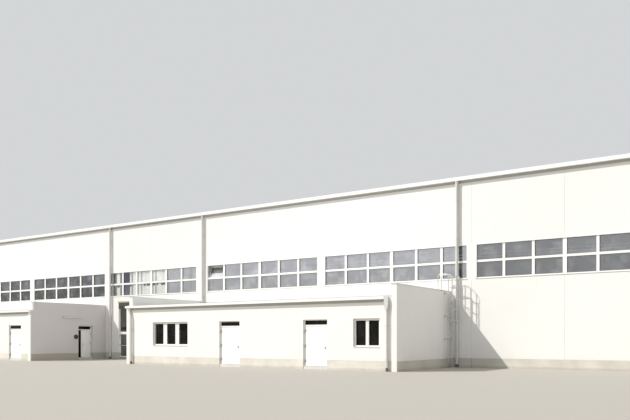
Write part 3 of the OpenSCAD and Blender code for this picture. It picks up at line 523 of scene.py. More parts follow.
@dataclass(frozen=True)
class Render(Finish):
    """Matt render on a wall, with rain marks under its sills, a splashed foot and painted shade inside
    some boxes.
    """

    stain: Colour = (0.50, 0.46, 0.39)
    panel_l: float = 2.5
    panel_h: float = 3.0
    foot: float = 0.26
    splash_h: float = 0.32
    sills: tuple[float, ...] = ()
    run_l: float = 0.9
    marks: float = 0.10
    grain: float = 0.0006
    painted_shade: tuple[ShadeBox, ...] = ()
    grey: Colour = (0.64, 0.612, 0.62)

    def sockets(self, paint: Paint) -> dict[str, Any]:
        """Paints broad clouds, a tone for each panel, rain marks, painted shade inside some boxes and a
        fine trowelled grain.

        Args:
            paint: The material's tree.

        Returns:
            The shader's inputs.
        """
        x, y, z = paint.axes
        clouds = paint.noise(0.45, 4.0, 0.6)
        column, row = (x / self.panel_l).floor(), (y / self.panel_l).floor()
        panel = paint.combine(column, row, z.above(self.panel_h))
        lot = paint.add("ShaderNodeTexWhiteNoise", {"noise_dimensions": "3D"}, {"Vector": panel})
        ground = paint.mix(shade(self.tone, 0.955), self.tone, clouds.fade(0.3, 0.7))
        ground = paint.mix(ground, shade(self.tone, 0.97), lot * 0.5)
        runs = paint.drawn((7.0, 7.0, 0.35), 4.0, 0.65).fade(0.48, 0.78)
        wet: Any = 0.0
        for sill in self.sills:
            wet = z.below(sill) * (1 - (sill - z).fade(0.0, self.run_l)) + wet
        edge = z - self.foot + 0.18 * paint.noise(5.0, 3.0)
        splash = (1 - edge.fade(0.0, self.splash_h)) * 0.8
        dirty = (runs * wet + splash) * self.marks
        trowel = paint.noise(34.0, 4.0, 0.6)
        sand = paint.noise(240.0)
        # Painted shade: the wall is darkened inside the boxes round the shaded end walls
        ground = paint.shaded_in(ground, self.painted_shade, self.grey)
        return {"Base Color": paint.mix(ground, self.stain, dirty),
                "Roughness": self.rough + 0.1 * trowel,
                "Normal": paint.bump(0.55 * trowel + 0.45 * sand, self.grain)}


@dataclass(frozen=True)
class Concrete(Finish):
    """Cast concrete with clouds, blowholes, damp edges and painted shade inside some boxes."""

    damp: Colour = (0.30, 0.29, 0.27)
    damp_to: float = 0.0
    pores: float = 26.0
    clouds: float = 1.6
    grain: float = 0.0012
    painted_shade: tuple[ShadeBox, ...] = ()
    grey: Colour = (0.42, 0.40, 0.34)

    def sockets(self, paint: Paint) -> dict[str, Any]:
        """Paints clouds in two sizes, small blowholes, a damp foot and painted shade inside some boxes.

        Args:
            paint: The material's tree.

        Returns:
            The shader's inputs.
        """
        broad = paint.noise(self.clouds, 5.0, 0.62)
        fine = paint.noise(60.0, 3.0, 0.6)
        holes = 1 - paint.cells(self.pores).fade(0.05, 0.12)
        worn = paint.mix(shade(self.tone, 0.84), shade(self.tone, 1.07), broad.fade(0.25, 0.75))
        pitted = paint.mix(worn, shade(self.tone, 0.55), holes * 0.55)
        rise = paint.axes[2] - self.damp_to * paint.drawn((2.0, 2.0, 0.6), 3.0)
        wet = (1 - rise.fade(0.0, 0.05)) * (0.3 if self.damp_to else 0.0)
        # Painted shade: the concrete is darkened inside the boxes round the shaded end walls
        pitted = paint.shaded_in(pitted, self.painted_shade, self.grey)
        return {"Base Color": paint.mix(pitted, self.damp, wet),
                "Roughness": self.rough + 0.18 * fine,
                "Normal": paint.bump(0.6 * fine + 0.4 * broad - holes, self.grain)}


@dataclass(frozen=True)
class Coating(Finish):
    """Coated metal, with dust where it looks up and a faint orange peel."""

    dust: Colour = (0.46, 0.43, 0.38)
    dust_share: float = 0.35
    coat: float = 0.15

    def ground(self, paint: Paint) -> Wire:
        """Paints the coating's colour under dust and rain.

        Args:
            paint: The material's tree.

        Returns:
            The colour.
        """
        runs = paint.drawn((16.0, 16.0, 1.2), 3.0, 0.6).fade(0.5, 0.85)
        film = paint.noise(3.0, 4.0, 0.6)
        lying = paint.facing_up().fade(0.35, 0.95) * (0.4 + 0.6 * film)
        worn = paint.mix(self.tone, shade(self.tone, 0.93), film.fade(0.3, 0.8))
        return paint.mix(worn, self.dust, lying * self.dust_share + runs * 0.06)

    def sockets(self, paint: Paint) -> dict[str, Any]:
        """Paints the coating.

        Args:
            paint: The material's tree.

        Returns:
            The shader's inputs.
        """
        return {"Base Color": self.ground(paint), "Coat Weight": self.coat,
                "Roughness": self.rough + 0.12 * paint.noise(9.0, 3.0),
                "Normal": paint.bump(paint.noise(420.0, 1.0), 0.00012, 0.6)}


@dataclass(frozen=True)
class PipeCoating(Coating):
    """A coated pipe whose foot is a socket of dark cast iron."""

    socket_top: float = 0.09
    iron: Colour = (0.13, 0.125, 0.115)

    def sockets(self, paint: Paint) -> dict[str, Any]:
        """Paints the coating, and iron at the foot.

        Args:
            paint: The material's tree.

        Returns:
            The shader's inputs.
        """
        found = super().sockets(paint)
        foot = paint.axes[2].below(self.socket_top)
        found["Base Color"] = paint.mix(found["Base Color"], self.iron, foot)
        return found


@dataclass(frozen=True)
class HungLeaf(Coating):
    """A coated door leaf, with hinges and handle of bare steel before and behind its skins."""

    pivot: tuple[float, float] = (0.0, 0.0)
    turn: float = 0.0
    skin: tuple[float, float] = (0.0115, 0.0375)
    steel: Colour = (0.50, 0.50, 0.49)

    def sockets(self, paint: Paint) -> dict[str, Any]:
        """Paints the leaf, and steel on what stands out of its two skins.

        Args:
            paint: The material's tree.

        Returns:
            The shader's inputs.
        """
        found = super().sockets(paint)
        back = Matrix.Rotation(-self.turn, 3, "Z")
        shift = -(back @ Vector((*self.pivot, 0.0)))
        own = paint.add("ShaderNodeMapping", None, {
            "Vector": paint.place, "Location": tuple(shift), "Rotation": (0.0, 0.0, -self.turn)})
        depth = paint.split(own)[1]
        metal = depth.below(self.skin[0]) + depth.above(self.skin[1])
        brushed = paint.drawn((40.0, 40.0, 900.0), place=own)
        steel = paint.mix(shade(self.steel, 0.8), self.steel, brushed)
        found["Base Color"] = paint.mix(found["Base Color"], steel, metal)
        found["Metallic"] = metal
        found["Roughness"] = self.rough - 0.12 * metal
        return found


@dataclass(frozen=True)
class FrameCoating(Coating):
    """A coated frame with bare steel inside some boxes, where its hinges are."""

    hinges: tuple[tuple[Vector, Vector], ...] = ()
    steel: Colour = (0.50, 0.50, 0.49)

    def sockets(self, paint: Paint) -> dict[str, Any]:
        """Paints the frame, and steel in the boxes of its hinges.

        Args:
            paint: The material's tree.

        Returns:
            The shader's inputs.
        """
        found = super().sockets(paint)
        metal: Any = 0.0
        for low, high in self.hinges:
            metal = paint.within(low, high) + metal
        found["Base Color"] = paint.mix(found["Base Color"], self.steel, metal)
        found["Metallic"] = metal
        return found


@dataclass(frozen=True)
class BareMetal(Finish):
    """Zinc or steel without paint, with spangles and a dull bloom."""

    spangle: float = 90.0
    metallic: float = 0.85
    bloom: Colour = (0.62, 0.62, 0.60)

    def sockets(self, paint: Paint) -> dict[str, Any]:
        """Paints spangles, bloom and fine scratches.

        Args:
            paint: The material's tree.

        Returns:
            The shader's inputs.
        """
        flake = paint.split(paint.cells(self.spangle, "Color"))[0]
        film = paint.noise(4.0, 5.0, 0.65)
        scratches = paint.drawn((30.0, 30.0, 420.0))
        base = paint.mix(shade(self.tone, 0.9), shade(self.tone, 1.07), flake)
        return {"Base Color": paint.mix(base, self.bloom, film.fade(0.45, 0.75) * 0.5),
                "Metallic": self.metallic - 0.35 * film.fade(0.5, 0.8),
                "Roughness": self.rough + 0.2 * flake * film,
                "Normal": paint.bump(0.5 * scratches + 0.5 * flake, 0.0002, 0.5)}


@dataclass(frozen=True)
class Membrane(Finish):
    """Roofing sheet with a light dust, streaks that run down its slope and a fine tooth."""

    soot: Colour = (0.40, 0.39, 0.36)

    def sockets(self, paint: Paint) -> dict[str, Any]:
        """Paints dust that lies on top, and the streaks that rain has washed in it.

        Args:
            paint: The material's tree.

        Returns:
            The shader's inputs.
        """
        film = paint.noise(0.5, 6.0, 0.62)
        streaks = paint.drawn((4.5, 0.45, 1.0), 4.0, 0.6)
        lying = paint.facing_up().fade(0.5, 0.95)
        dirty = (film.fade(0.3, 0.8) * 0.16 + streaks.fade(0.4, 0.8) * 0.2) * lying
        return {"Base Color": paint.mix(self.tone, self.soot, dirty),
                "Roughness": self.rough + 0.12 * film,
                "Normal": paint.bump(paint.noise(320.0), 0.0005)}


@dataclass(frozen=True)
class Glazing(Finish):
    """Clear glass that shows the room behind it and reflects the sky."""

    cover: float = 0.38
    film: float = 0.10

    def seen(self, paint: Paint) -> tuple[Any, Any, Any]:
        """The tone of what the glass reflects, how much of the view it hides, and how much it glares."""
        return self.tone, self.cover, 0.0

    def sockets(self, paint: Paint) -> dict[str, Any]:
        """Paints a reflecting skin that covers a part of the view, with a thin film of dust.

        Args:
            paint: The material's tree.

        Returns:
            The shader's inputs.
        """
        dust = paint.noise(2.2, 5.0, 0.65).fade(0.4, 0.8)
        roller = paint.drawn((1.6, 1.6, 4.0), 1.0)
        tone, cover, glare = self.seen(paint)
        return {"Base Color": paint.mix(tone, shade(self.tone, 1.15), dust * 0.25),
                # Where glare is painted, less metal lets the tone show as a painted highlight
                "Metallic": (1.0 - 0.5 * dust) * (1.0 - glare),
                "Roughness": self.rough + 0.08 * dust,
                "Alpha": cover + self.film * dust,
                "Normal": paint.bump(roller, 0.002, 0.4)}


class Sheen(Enum):
    """Painted reflections on the hall's front glass: the tone painted as reflected, what it hides of the
    room, its painted glare.
    """

    BRIGHT = (0.95, 0.985, 0.95), 0.96, 0.45
    SASH = (0.97, 0.955, 1.0), 0.90, 0.30
    PALE = (0.85, 0.85, 0.89), 0.68, 0.0
    STRIPE = (0.60, 0.62, 0.56), 0.92, 0.15
    OLIVE = (0.41, 0.425, 0.375), 0.80, 0.0
    GREY = (0.31, 0.31, 0.33), 0.78, 0.0
    DUSKY = (0.17, 0.16, 0.25), 0.85, 0.0
    DARK = (0.06, 0.065, 0.07), 0.92, 0.0


# First and last row of panes
LOWER, UPPER, BOTH = (0, 0), (1, 1), (0, 1)
# How far a narrow stretch reaches past its own edges
THIN = 0.012


@dataclass(frozen=True)
class Stretch:
    """Some panes in the front glass, and the reflection painted on them.

    The bay counts from the left, and so do the start and the end, in panes of that bay.
    """

    sheen: Sheen
    bay: int
    start: float
    end: float
    rows: tuple[int, int] = BOTH
    rim: float = 0.02
    depth: float = 0.1

    def box(self, panes: list[Pane]) -> tuple[Vector, Vector]:
        """Measures the stretch, to behind the frame round its panes.

        Args:
            panes: The panes of its bay.

        Returns:
            The lowest and the highest corner of a box round it.
        """
        columns = len(panes) // 2
        ends = []
        for count in (self.start, self.end):
            column = min(int(count), columns - 1)
            ends.append(panes[column].left + (count - column) * panes[column].width)
        foot, head = (panes[row * columns] for row in self.rows)
        margin = Vector((self.rim, self.depth, self.rim))
        return (Vector((ends[0], foot.face, foot.foot)) - margin,
                Vector((ends[1], head.face, head.head)) + margin)


# Painted reflections, from the left, each laid over those before it
STRETCHES = (
    Stretch(Sheen.GREY, 0, 0.0, 6.0), Stretch(Sheen.DARK, 0, 0.0, 6.0, LOWER),
    Stretch(Sheen.GREY, 1, 0.0, 6.0), Stretch(Sheen.DARK, 1, 0.0, 6.0, LOWER),
    Stretch(Sheen.OLIVE, 2, 0.0, 1.0), Stretch(Sheen.BRIGHT, 2, 0.55, 0.75),
    Stretch(Sheen.DUSKY, 2, 1.0, 1.42), Stretch(Sheen.BRIGHT, 2, 1.5, 4.0),
    Stretch(Sheen.STRIPE, 2, 1.6, 1.7, rim=THIN), Stretch(Sheen.STRIPE, 2, 2.25, 2.33, rim=THIN),
    Stretch(Sheen.STRIPE, 2, 3.2, 3.28, rim=THIN),
    Stretch(Sheen.PALE, 2, 4.0, 6.0), Stretch(Sheen.PALE, 3, 0.0, 6.0),
    Stretch(Sheen.SASH, 3, 0.0, 1.0, UPPER), Stretch(Sheen.PALE, 4, 0.0, 6.0),
    Stretch(Sheen.DARK, 4, 5.68, 5.79, rim=THIN))


@dataclass(frozen=True)
class HallGlass(Glazing):
    """The hall's glass, with painted reflections that make some stretches brighter than others, and
    painted shade.

    The heights of its painted marks count from the middle rail, and its mottled reflection ends and its
    light lines start at these places along the front.
    """

    middle_rail: float = 3.0
    # Painted reflection and shade: a darker lower row, reflected streaks and shade at the heads, dark
    # dashes in the glare, light lines and a mottled reflection at the left
    low_tone: Colour = (0.42, 0.41, 0.38)
    reflected_streak_and_shade: Colour = (0.40, 0.40, 0.40)
    dash: Colour = (0.10, 0.10, 0.10)
    dash_band: tuple[float, float] = (-0.125, -0.03)
    line: Colour = (1.0, 1.0, 1.0)
    line_heights: tuple[float, ...] = (0.115, 0.20)
    line_t: float = 0.022
    lines_start: float = 5.2
    head_shade: tuple[float, float] = (0.22, 0.46)
    mottle: Colour = (0.10, 0.125, 0.115)
    mottle_end: float = -5.1
    least_glare: float = 0.4

    def seen(self, paint: Paint) -> tuple[Any, Any, Any]:
        """Paints reflections: the stretches, a mottled reflection, a darker lower row, streaks, light
        lines and dashes, and painted shade at the heads.

        Args:
            paint: The material's tree.

        Returns:
            The tone, how much of the view it hides, and how much it glares.
        """
        windows = [panes for _, panes in windows_of("front_window_frames")]
        tone: Any = self.tone
        cover: Any = self.cover
        glare: Any = 0.0
        # Painted reflections: each stretch's reflected tone, cover and glare
        for stretch in STRETCHES:
            inside = paint.within(*stretch.box(windows[stretch.bay]))
            seen_tone, seen_cover, seen_glare = stretch.sheen.value
            tone = paint.mix(tone, seen_tone, inside)
            cover = (seen_cover - cover) * inside + cover
            glare = (seen_glare - glare) * inside + glare
        x, y, z = paint.axes
        front, over = y.below(0.0), z - self.middle_rail
        # Painted reflections: streaks, bands, a mottled reflection at the left and a darker lower row
        streaks = paint.drawn((0.7, 0.7, 30.0), 3.0, 0.6).fade(0.45, 0.75)
        bands = paint.drawn((4.2, 4.2, 0.4)).fade(0.55, 0.75)
        mottled = paint.drawn((1.5, 1.5, 2.2), 5.0, 0.75).fade(0.42, 0.68)
        tone = paint.mix(tone, self.mottle, mottled * x.below(self.mottle_end) * front * 0.5)
        tone = paint.mix(tone, self.low_tone, over.below(0.0) * 0.28)
        tone = paint.mix(tone, self.reflected_streak_and_shade, bands * 0.22 + streaks * 0.2)
        # Painted reflections: thin light lines over the middle rail
        lines: Any = 0.0
        for height in self.line_heights:
            lines = over.above(height - self.line_t / 2) * over.below(height + self.line_t / 2) + lines
        tone = paint.mix(tone, self.line, lines * x.above(self.lines_start) * front * 0.45)
        # Dark dashes painted into the glare under the middle rail
        bright = glare.above(self.least_glare)
        marks = paint.drawn((3.0, 3.0, 0.5), roughness=0.6).fade(0.44, 0.52)
        dashes = over.above(self.dash_band[0]) * over.below(self.dash_band[1]) * marks * bright
        # Painted shade at the heads of the bright panes
        shaded = over.fade(*self.head_shade) * bright * (0.2 + 0.8 * bands)
        tone = paint.mix(tone, self.reflected_streak_and_shade, shaded * 0.8)
        return paint.mix(tone, self.dash, dashes * 0.8), cover, glare * (1.0 - dashes) * (1.0 - shaded)


@dataclass(frozen=True)
class Seal(Finish):
    """Rubber or sealant, dull and slightly chalky."""

    chalk: Colour = (0.45, 0.44, 0.42)

    def sockets(self, paint: Paint) -> dict[str, Any]:
        """Paints a chalky bloom.

        Args:
            paint: The material's tree.

        Returns:
            The shader's inputs.
        """
        bloom = paint.noise(12.0, 4.0, 0.6).fade(0.45, 0.85)
        return {"Base Color": paint.mix(self.tone, self.chalk, bloom * 0.25),
                "Roughness": self.rough + 0.15 * bloom,
                "Normal": paint.bump(paint.noise(200.0), 0.0003)}


@dataclass(frozen=True)
class EndWallShade:
    """The right-hand end walls of both annexes, where shade is painted in to make them darker than the
    fronts.
    """

    reach: float = 0.1
    left_share: float = 0.92
    right_share: float = 0.45

    def boxes(self) -> tuple[ShadeBox, ...]:
        """Measures the walls.

        Returns:
            A box round each wall and how far painted shade darkens it, the left annex's first.
        """
        front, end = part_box("annex_front_walls")[0].y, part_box("annex_end_walls")[1]
        walls = (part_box("wall_lamp")[0].x, self.left_share), (end.x, self.right_share)
        top, reach = end.z + self.reach, self.reach
        return tuple((Vector((x - reach, front, 0.0)), Vector((x + reach, 0.0, top)), share)
                     for x, share in walls)


class Palette:
    """Every finish of the building, each built once, by the record's slot or a name of its own."""

    def __init__(self) -> None:
        """Mixes the finishes for the heights that rain and splashes follow, and for the boxes of painted
        shade.
        """
        white = (0.90, 0.90, 0.885)
        # Boxes round the annexes' right-hand end walls, which get painted shade
        painted_shade = EndWallShade().boxes()
        panes = next(windows_of("front_window_frames"))[1]
        middle_rail = (panes[0].head + panes[-1].foot) / 2
        hall_foot, annex_foot = (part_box(node)[1].z for node in ("hall_plinth", "annex_plinths"))
        hall_sill, annex_sill, eaves = (
            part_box(node)[0].z for node in ("front_window_frames", "annex_window_frames", "hall_gutters"))
        self.finishes: dict[str, Finish] = {
            "plinth": Concrete("plinth_concrete", (0.67, 0.64, 0.58), 0.8, damp_to=0.06),
            "annex_plinth": Concrete("annex_plinth", (0.74, 0.705, 0.64), 0.8, damp_to=0.06,
                                     painted_shade=painted_shade),
            "doorstep": Concrete("doorstep_concrete", (0.72, 0.70, 0.66), 0.7),
            "floor": Concrete("floor_concrete", (0.46, 0.455, 0.44), 0.62, pores=8.0, clouds=0.7),
            "wall_panel": Render("panel_render", (0.855, 0.85, 0.826), 0.82, foot=hall_foot,
                                 sills=(hall_sill, eaves)),
            "render": Render("annex_render", (0.88, 0.872, 0.845), 0.84, panel_l=40.0, foot=annex_foot,
                             sills=(annex_sill,), grain=0.0009, painted_shade=painted_shade[:1]),
            "concrete_frame": Concrete("frame_concrete", (0.64, 0.635, 0.62), 0.75, pores=18.0),
            "white_metal": Coating("white_sheet", white, 0.38),
            "roof_deck": Membrane("roof_membrane", (0.64, 0.645, 0.65), 0.62),
            "flashing": BareMetal("flashing_sheet", (0.70, 0.71, 0.72), 0.36, spangle=65.0, metallic=0.75),
            "pipe": PipeCoating("pipe_coating", (0.64, 0.635, 0.615), 0.42, dust_share=0.25),
            "window_frame": Coating("frame_coating", white, 0.36, coat=0.25),
            # The hall's glass carries painted reflections, painted glare and painted shade
            "glass": HallGlass("window_glass", (0.70, 0.705, 0.73), 0.03, cover=0.36, film=0.06,
                               middle_rail=middle_rail),
            # This glass and the next are dark and nearly opaque: the shade of the rooms behind them is
            # painted in
            "dim_glass": Glazing("dim_glass", (0.02, 0.02, 0.016), 0.04, cover=0.95, film=0.01),
            "entrance_glass": Glazing("entrance_glass", (0.17, 0.175, 0.15), 0.05, cover=0.95, film=0.03),
            "panel_glass": Glazing("panel_glass", (0.16, 0.165, 0.14), 0.06, cover=1.0, film=0.0),
            "lintel": Concrete("lintel_concrete", (0.45, 0.455, 0.405), 0.75, pores=20.0),
            # Painted shade: the dark strip under each gutter
            "closure": Seal("eaves_closure", (0.44, 0.435, 0.40), 0.8, chalk=(0.49, 0.485, 0.46)),
            "door_leaf": Coating("door_coating", (0.91, 0.91, 0.90), 0.40),
            "galvanised": BareMetal("galvanised_steel", (0.62, 0.625, 0.62), 0.44, metallic=0.7),
            "fitting": Coating("dark_coating", (0.05, 0.05, 0.052), 0.48, dust_share=0.15),
            "lamp_housing": Coating("lamp_housing", (0.52, 0.515, 0.50), 0.40),
            "sealant": Seal("joint_sealant", (0.80, 0.79, 0.765), 0.75),
            "gasket": Seal("black_rubber", (0.030, 0.030, 0.032), 0.6, chalk=(0.16, 0.16, 0.16)),
            "steel": BareMetal("turned_steel", (0.62, 0.62, 0.61), 0.28, spangle=300.0, metallic=1.0),
            "diffuser": Coating("lamp_diffuser", (0.80, 0.80, 0.78), 0.30, coat=0.5),
            "seam": Membrane("roof_seam", (0.58, 0.585, 0.59), 0.58),
        }
        self.built: dict[str, bpy.types.Material] = {}

    def __getitem__(self, name: str) -> bpy.types.Material:
        """Gives the material of a finish, built when it is first asked for.

        Args:
            name: The finish's name.

        Returns:
            The material.
        """
        if name not in self.built:
            self.built[name] = self.finishes[name].material()
        return self.built[name]


# Patterns that Geometry Nodes make


class Pattern(Bench, ABC):
    """A Geometry Nodes tree with named sizes, which turns routes or points into one mesh."""

    pitched = False

    def __init__(self, name: str) -> None:
        """Starts the tree.

        Args:
            name: What the tree makes.
        """
        super().__init__(bpy.data.node_groups.new(name, "GeometryNodeTree"))
        self.labels: dict[str, str] = {}
        self.interface("Geometry", "NodeSocketGeometry", "OUTPUT")
        self.routes = self.size("Geometry", "NodeSocketGeometry")
        self.draw()

    def interface(self, label: str, kind: str, way: str) -> str:
        """Adds a socket to the tree's interface, and gives its identifier."""
        return self.tree.interface.new_socket(label, in_out=way, socket_type=kind).identifier

    def size(self, label: str, kind: str = "NodeSocketFloat") -> Wire:
        """Adds a named input."""
        self.labels[label] = self.interface(label, kind, "INPUT")
        return self.add("NodeGroupInput", None, None, label)

    def close(self, geometry: Wire) -> None:
        """Ends the tree.

        Args:
            geometry: What the tree has made.
        """
        joined = self.add("GeometryNodeRealizeInstances", None, {"Geometry": geometry})
        dressed = self.add("GeometryNodeSetMaterial", None,
                           {"Geometry": joined, "Material": self.size("Finish", "NodeSocketMaterial")})
        end = self.tree.nodes.new("NodeGroupOutput")
        self.tree.links.new(dressed.socket, end.inputs[0])

    def curves(self) -> Wire:
        """The routes as curves."""
        return self.add("GeometryNodeMeshToCurve", None, {"Mesh": self.routes})

    def swept(self, curves: Wire, profile: Wire, scale: Any = 1.0) -> Wire:
        """A profile swept along curves, with closed ends."""
        return self.add("GeometryNodeCurveToMesh", None, {
            "Curve": curves, "Profile Curve": profile, "Scale": scale, "Fill Caps": True})

    def copies(self, part: Wire, points: Wire | None = None, **placing: Wire) -> Wire:
        """Copies a part.

        Args:
            part: The part.
            points: Where the copies go, if that is another place than the routes.
            placing: The copies' Rotation or Scale.

        Returns:
            The copies, at the given points, or evenly spaced along the routes if the pattern is pitched.
        """
        if points is None and self.pitched:
            points = self.add("GeometryNodeResampleCurve", {"mode": "LENGTH"},
                              {"Curve": self.curves(), "Length": self.size("Pitch")})
        return self.add("GeometryNodeInstanceOnPoints", None,
                        {"Points": points or self.routes, "Instance": part, **placing})

    def carried(self, label: str, kind: str = "FLOAT") -> Wire:
        """What a route's point carries under a label."""
        return self.add("GeometryNodeInputNamedAttribute", {"data_type": kind}, {"Name": label})

    def facing(self) -> Wire:
        """A turn that takes +Z to the direction that a route faces."""
        facing = self.carried(Routes.FACING, "FLOAT_VECTOR")
        return self.add("FunctionNodeAlignRotationToVector", {"axis": "Z"}, {"Vector": facing})

    def upright_turn(self, tilt: float = 0.0) -> Wire:
        """The turn that a point carries about the upright axis, after a tilt about X."""
        return self.combine(tilt, 0.0, self.carried(Routes.TURN))

    def raised(self, part: Wire, height: Any) -> Wire:
        """A part moved up."""
        return self.add("GeometryNodeTransform", None,
                        {"Geometry": part, "Translation": self.combine(0.0, 0.0, height)})

    def join(self, *parts: Wire) -> Wire:
        """Joins several parts.

        Args:
            parts: The parts.

        Returns:
            The parts as one.
        """
        joined = self.add("GeometryNodeJoinGeometry")
        for part in parts:
            self.tree.links.new(part.socket, joined.socket.node.inputs[0])
        return joined

    @abstractmethod
    def draw(self) -> None:
        """Adds the nodes between the routes and the end."""

    def make(self, routes: "Routes", name: str, finish: bpy.types.Material,
             sizes: dict[str, Any]) -> bpy.types.Object:
        """Runs the tree on some routes.

        Args:
            routes: The routes or points.
            name: The new piece's name.
            finish: Its material.
            sizes: The tree's named sizes.

        Returns:
            The piece, a plain mesh at the origin.
        """
        piece = routes.object(name)
        modifier = piece.modifiers.new(self.tree.name, "NODES")
        modifier.node_group = self.tree
        for label, value in {**sizes, "Finish": finish}.items():
            modifier[self.labels[label]] = value
        evaluated = piece.evaluated_get(bpy.context.evaluated_depsgraph_get())
        mesh = bpy.data.meshes.new_from_object(evaluated)
        piece.modifiers.remove(modifier)
        old, piece.data = piece.data, mesh
        bpy.data.meshes.remove(old)
        mesh.name = name
        return close_shells(piece)


@dataclass
class Routes:
    """Lines and points that a pattern follows, each with what it faces."""

    FACING = "facing"
    TURN = "turn"
    SWELL = "swell"
    points: list[Vector] = field(default_factory=list)
    edges: list[tuple[int, int]] = field(default_factory=list)
    facings: list[Vector] = field(default_factory=list)
    turns: list[float] = field(default_factory=list)
    swells: list[float] = field(default_factory=list)

    def point(self, at: Vector, turn: float = 0.0, facing: Vector = UP, swell: float = 1.0) -> int:
        """Adds one point.

        Args:
            at: Its place.
            turn: Its turn about the upright axis.
            facing: What it faces.
            swell: Size of what is swept through it.

        Returns:
            Its number.
        """
        self.points.append(Vector(at))
        self.turns.append(turn)
        self.facings.append(Vector(facing))
        self.swells.append(swell)
        return len(self.points) - 1

    def line(self, *corners: Vector, closed: bool = False, **carried: Any) -> None:
        """Adds a line through some corners.

        Args:
            corners: The corners.
            closed: Whether the last corner joins the first.
            carried: What each of its points carries.
        """
        numbers = [self.point(corner, **carried) for corner in corners]
        self.edges += list(zip(numbers, numbers[1:]))
        if closed:
            self.edges.append((numbers[-1], numbers[0]))

    def object(self, name: str) -> bpy.types.Object:
        """Turns the routes into an object that holds nothing but points and edges.

        Args:
            name: The object's name.

        Returns:
            The object.
        """
        mesh = bpy.data.meshes.new(name)
        mesh.from_pydata(self.points, self.edges, [])
        facing = mesh.attributes.new(self.FACING, "FLOAT_VECTOR", "POINT")
        facing.data.foreach_set("vector", [value for vector in self.facings for value in vector])
        for label, values in ((self.TURN, self.turns), (self.SWELL, self.swells)):
            mesh.attributes.new(label, "FLOAT", "POINT").data.foreach_set("value", values)
        return placed(name, mesh)


class Bead(Pattern):
    """A round bead along routes, scaled by their swell."""

    def draw(self) -> None:
        """Sweeps a circle along the routes."""
        ring = self.add("GeometryNodeCurvePrimitiveCircle", {"mode": "RADIUS"},
                        {"Resolution": self.size("Sides", "NodeSocketInt"), "Radius": self.size("Radius")})
        self.close(self.swept(self.curves(), ring, self.carried(Routes.SWELL)))


class Strip(Pattern):
    """A flat strip along routes, lying level where they run level."""

    def draw(self) -> None:
        """Sweeps a rectangle along the routes, with its width kept level."""
        bar = self.add("GeometryNodeCurvePrimitiveQuadrilateral", {"mode": "RECTANGLE"},
                       {"Width": self.size("Width"), "Height": self.size("Height")})
        level = self.add("GeometryNodeSetCurveNormal", {"mode": "Z_UP"}, {"Curve": self.curves()})
        self.close(self.swept(level, bar))


class Bolts(Pattern):
    """Six-sided heads on round washers, one at each point."""

    head_sides = 6
    washer_sides = 10
    washer_share = 1.7

    def draw(self) -> None:
        """Puts a head on a washer at each point, turned to what its route faces."""
        radius, height = self.size("Head Radius"), self.size("Head Height")
        washer_h = self.size("Washer Height")
        washer = self.add("GeometryNodeMeshCylinder", None, {
            "Vertices": self.washer_sides, "Radius": radius * self.washer_share, "Depth": washer_h})
        head = self.add("GeometryNodeMeshCylinder", None, {
            "Vertices": self.head_sides, "Radius": radius, "Depth": height})
        bolt = self.join(self.raised(washer, washer_h / 2), self.raised(head, washer_h + height / 2))
        self.close(self.copies(bolt, Rotation=self.facing()))


class Screws(Bolts):
    """Six-sided heads on round washers, evenly spaced along routes."""

    pitched = True


class Copies(Pattern):
    """A part at each point, drawn for the front wall and turned with the point."""

    def draw(self) -> None:
        """Copies the part to each point."""
        part = self.add("GeometryNodeObjectInfo", None, {"Object": self.size("Part", "NodeSocketObject")},
                        "Geometry")
        self.close(self.copies(part, Rotation=self.upright_turn()))


class Brackets(Copies):
    """A part that is copied along routes at an even pitch."""

    pitched = True


class PaneBeads(Pattern):
    """Glazing beads round a grid of panes, at each point the middle of one grid."""

    sides = 6

    def draw(self) -> None:
        """Copies one pane's bead over a grid, and the grid to each point."""
        columns, rows = self.size("Columns", "NodeSocketInt"), self.size("Rows", "NodeSocketInt")
        across, up = self.size("Step Across"), self.size("Step Up")
        width, height = self.size("Pane Width"), self.size("Pane Height")
        radius = self.size("Bead Radius")
        outline = self.add("GeometryNodeCurvePrimitiveQuadrilateral", {"mode": "RECTANGLE"},
                           {"Width": width - 2 * radius, "Height": height - 2 * radius})
        ring = self.add("GeometryNodeCurvePrimitiveCircle", {"mode": "RADIUS"},
                        {"Resolution": self.sides, "Radius": radius})
        grid = self.add("GeometryNodeMeshGrid", None, {
            "Size X": (columns - 1) * across, "Size Y": (rows - 1) * up,
            "Vertices X": columns, "Vertices Y": rows})
        beads = self.copies(self.swept(outline, ring), grid)
        self.close(self.copies(beads, Rotation=self.upright_turn(math.pi / 2)))


class Slats(Pattern):
    """Slats across a round opening, each as wide as the opening is at its height."""

    def draw(self) -> None:
        """Stacks the slats, and scales each one to its chord."""
        count, radius = self.size("Count", "NodeSocketInt"), self.size("Radius")
        depth, thick, lean = self.size("Depth"), self.size("Thickness"), self.size("Lean")
        step = 2 * radius / (count + 1)
        stack = self.add("GeometryNodeMeshLine", {"mode": "OFFSET"}, {
            "Count": count, "Start Location": self.combine(0.0, 0.0, step - radius),
            "Offset": self.combine(0.0, 0.0, step)})
        place = self.add("GeometryNodeInputPosition")
        height = self.add("ShaderNodeSeparateXYZ", None, {"Vector": place}, "Z")
        chord = (radius * radius - height * height).root() * 2
        slat = self.add("GeometryNodeMeshCube", None, {"Size": self.combine(1.0, depth, thick)})
        stacked = self.copies(slat, stack, Rotation=self.combine(lean, 0.0, 0.0),
                              Scale=self.combine(chord, 1.0, 1.0))
        self.close(self.copies(stacked, Rotation=self.upright_turn()))


# Mesh helpers


def placed(name: str, data: bpy.types.ID) -> bpy.types.Object:
    """Adds an object to the scene, at its origin.

    Args:
        name: The object's name.
        data: Its mesh, lamp or camera.

    Returns:
        The object.
    """
    made = bpy.data.objects.new(name, data)
    bpy.context.scene.collection.objects.link(made)
    return made


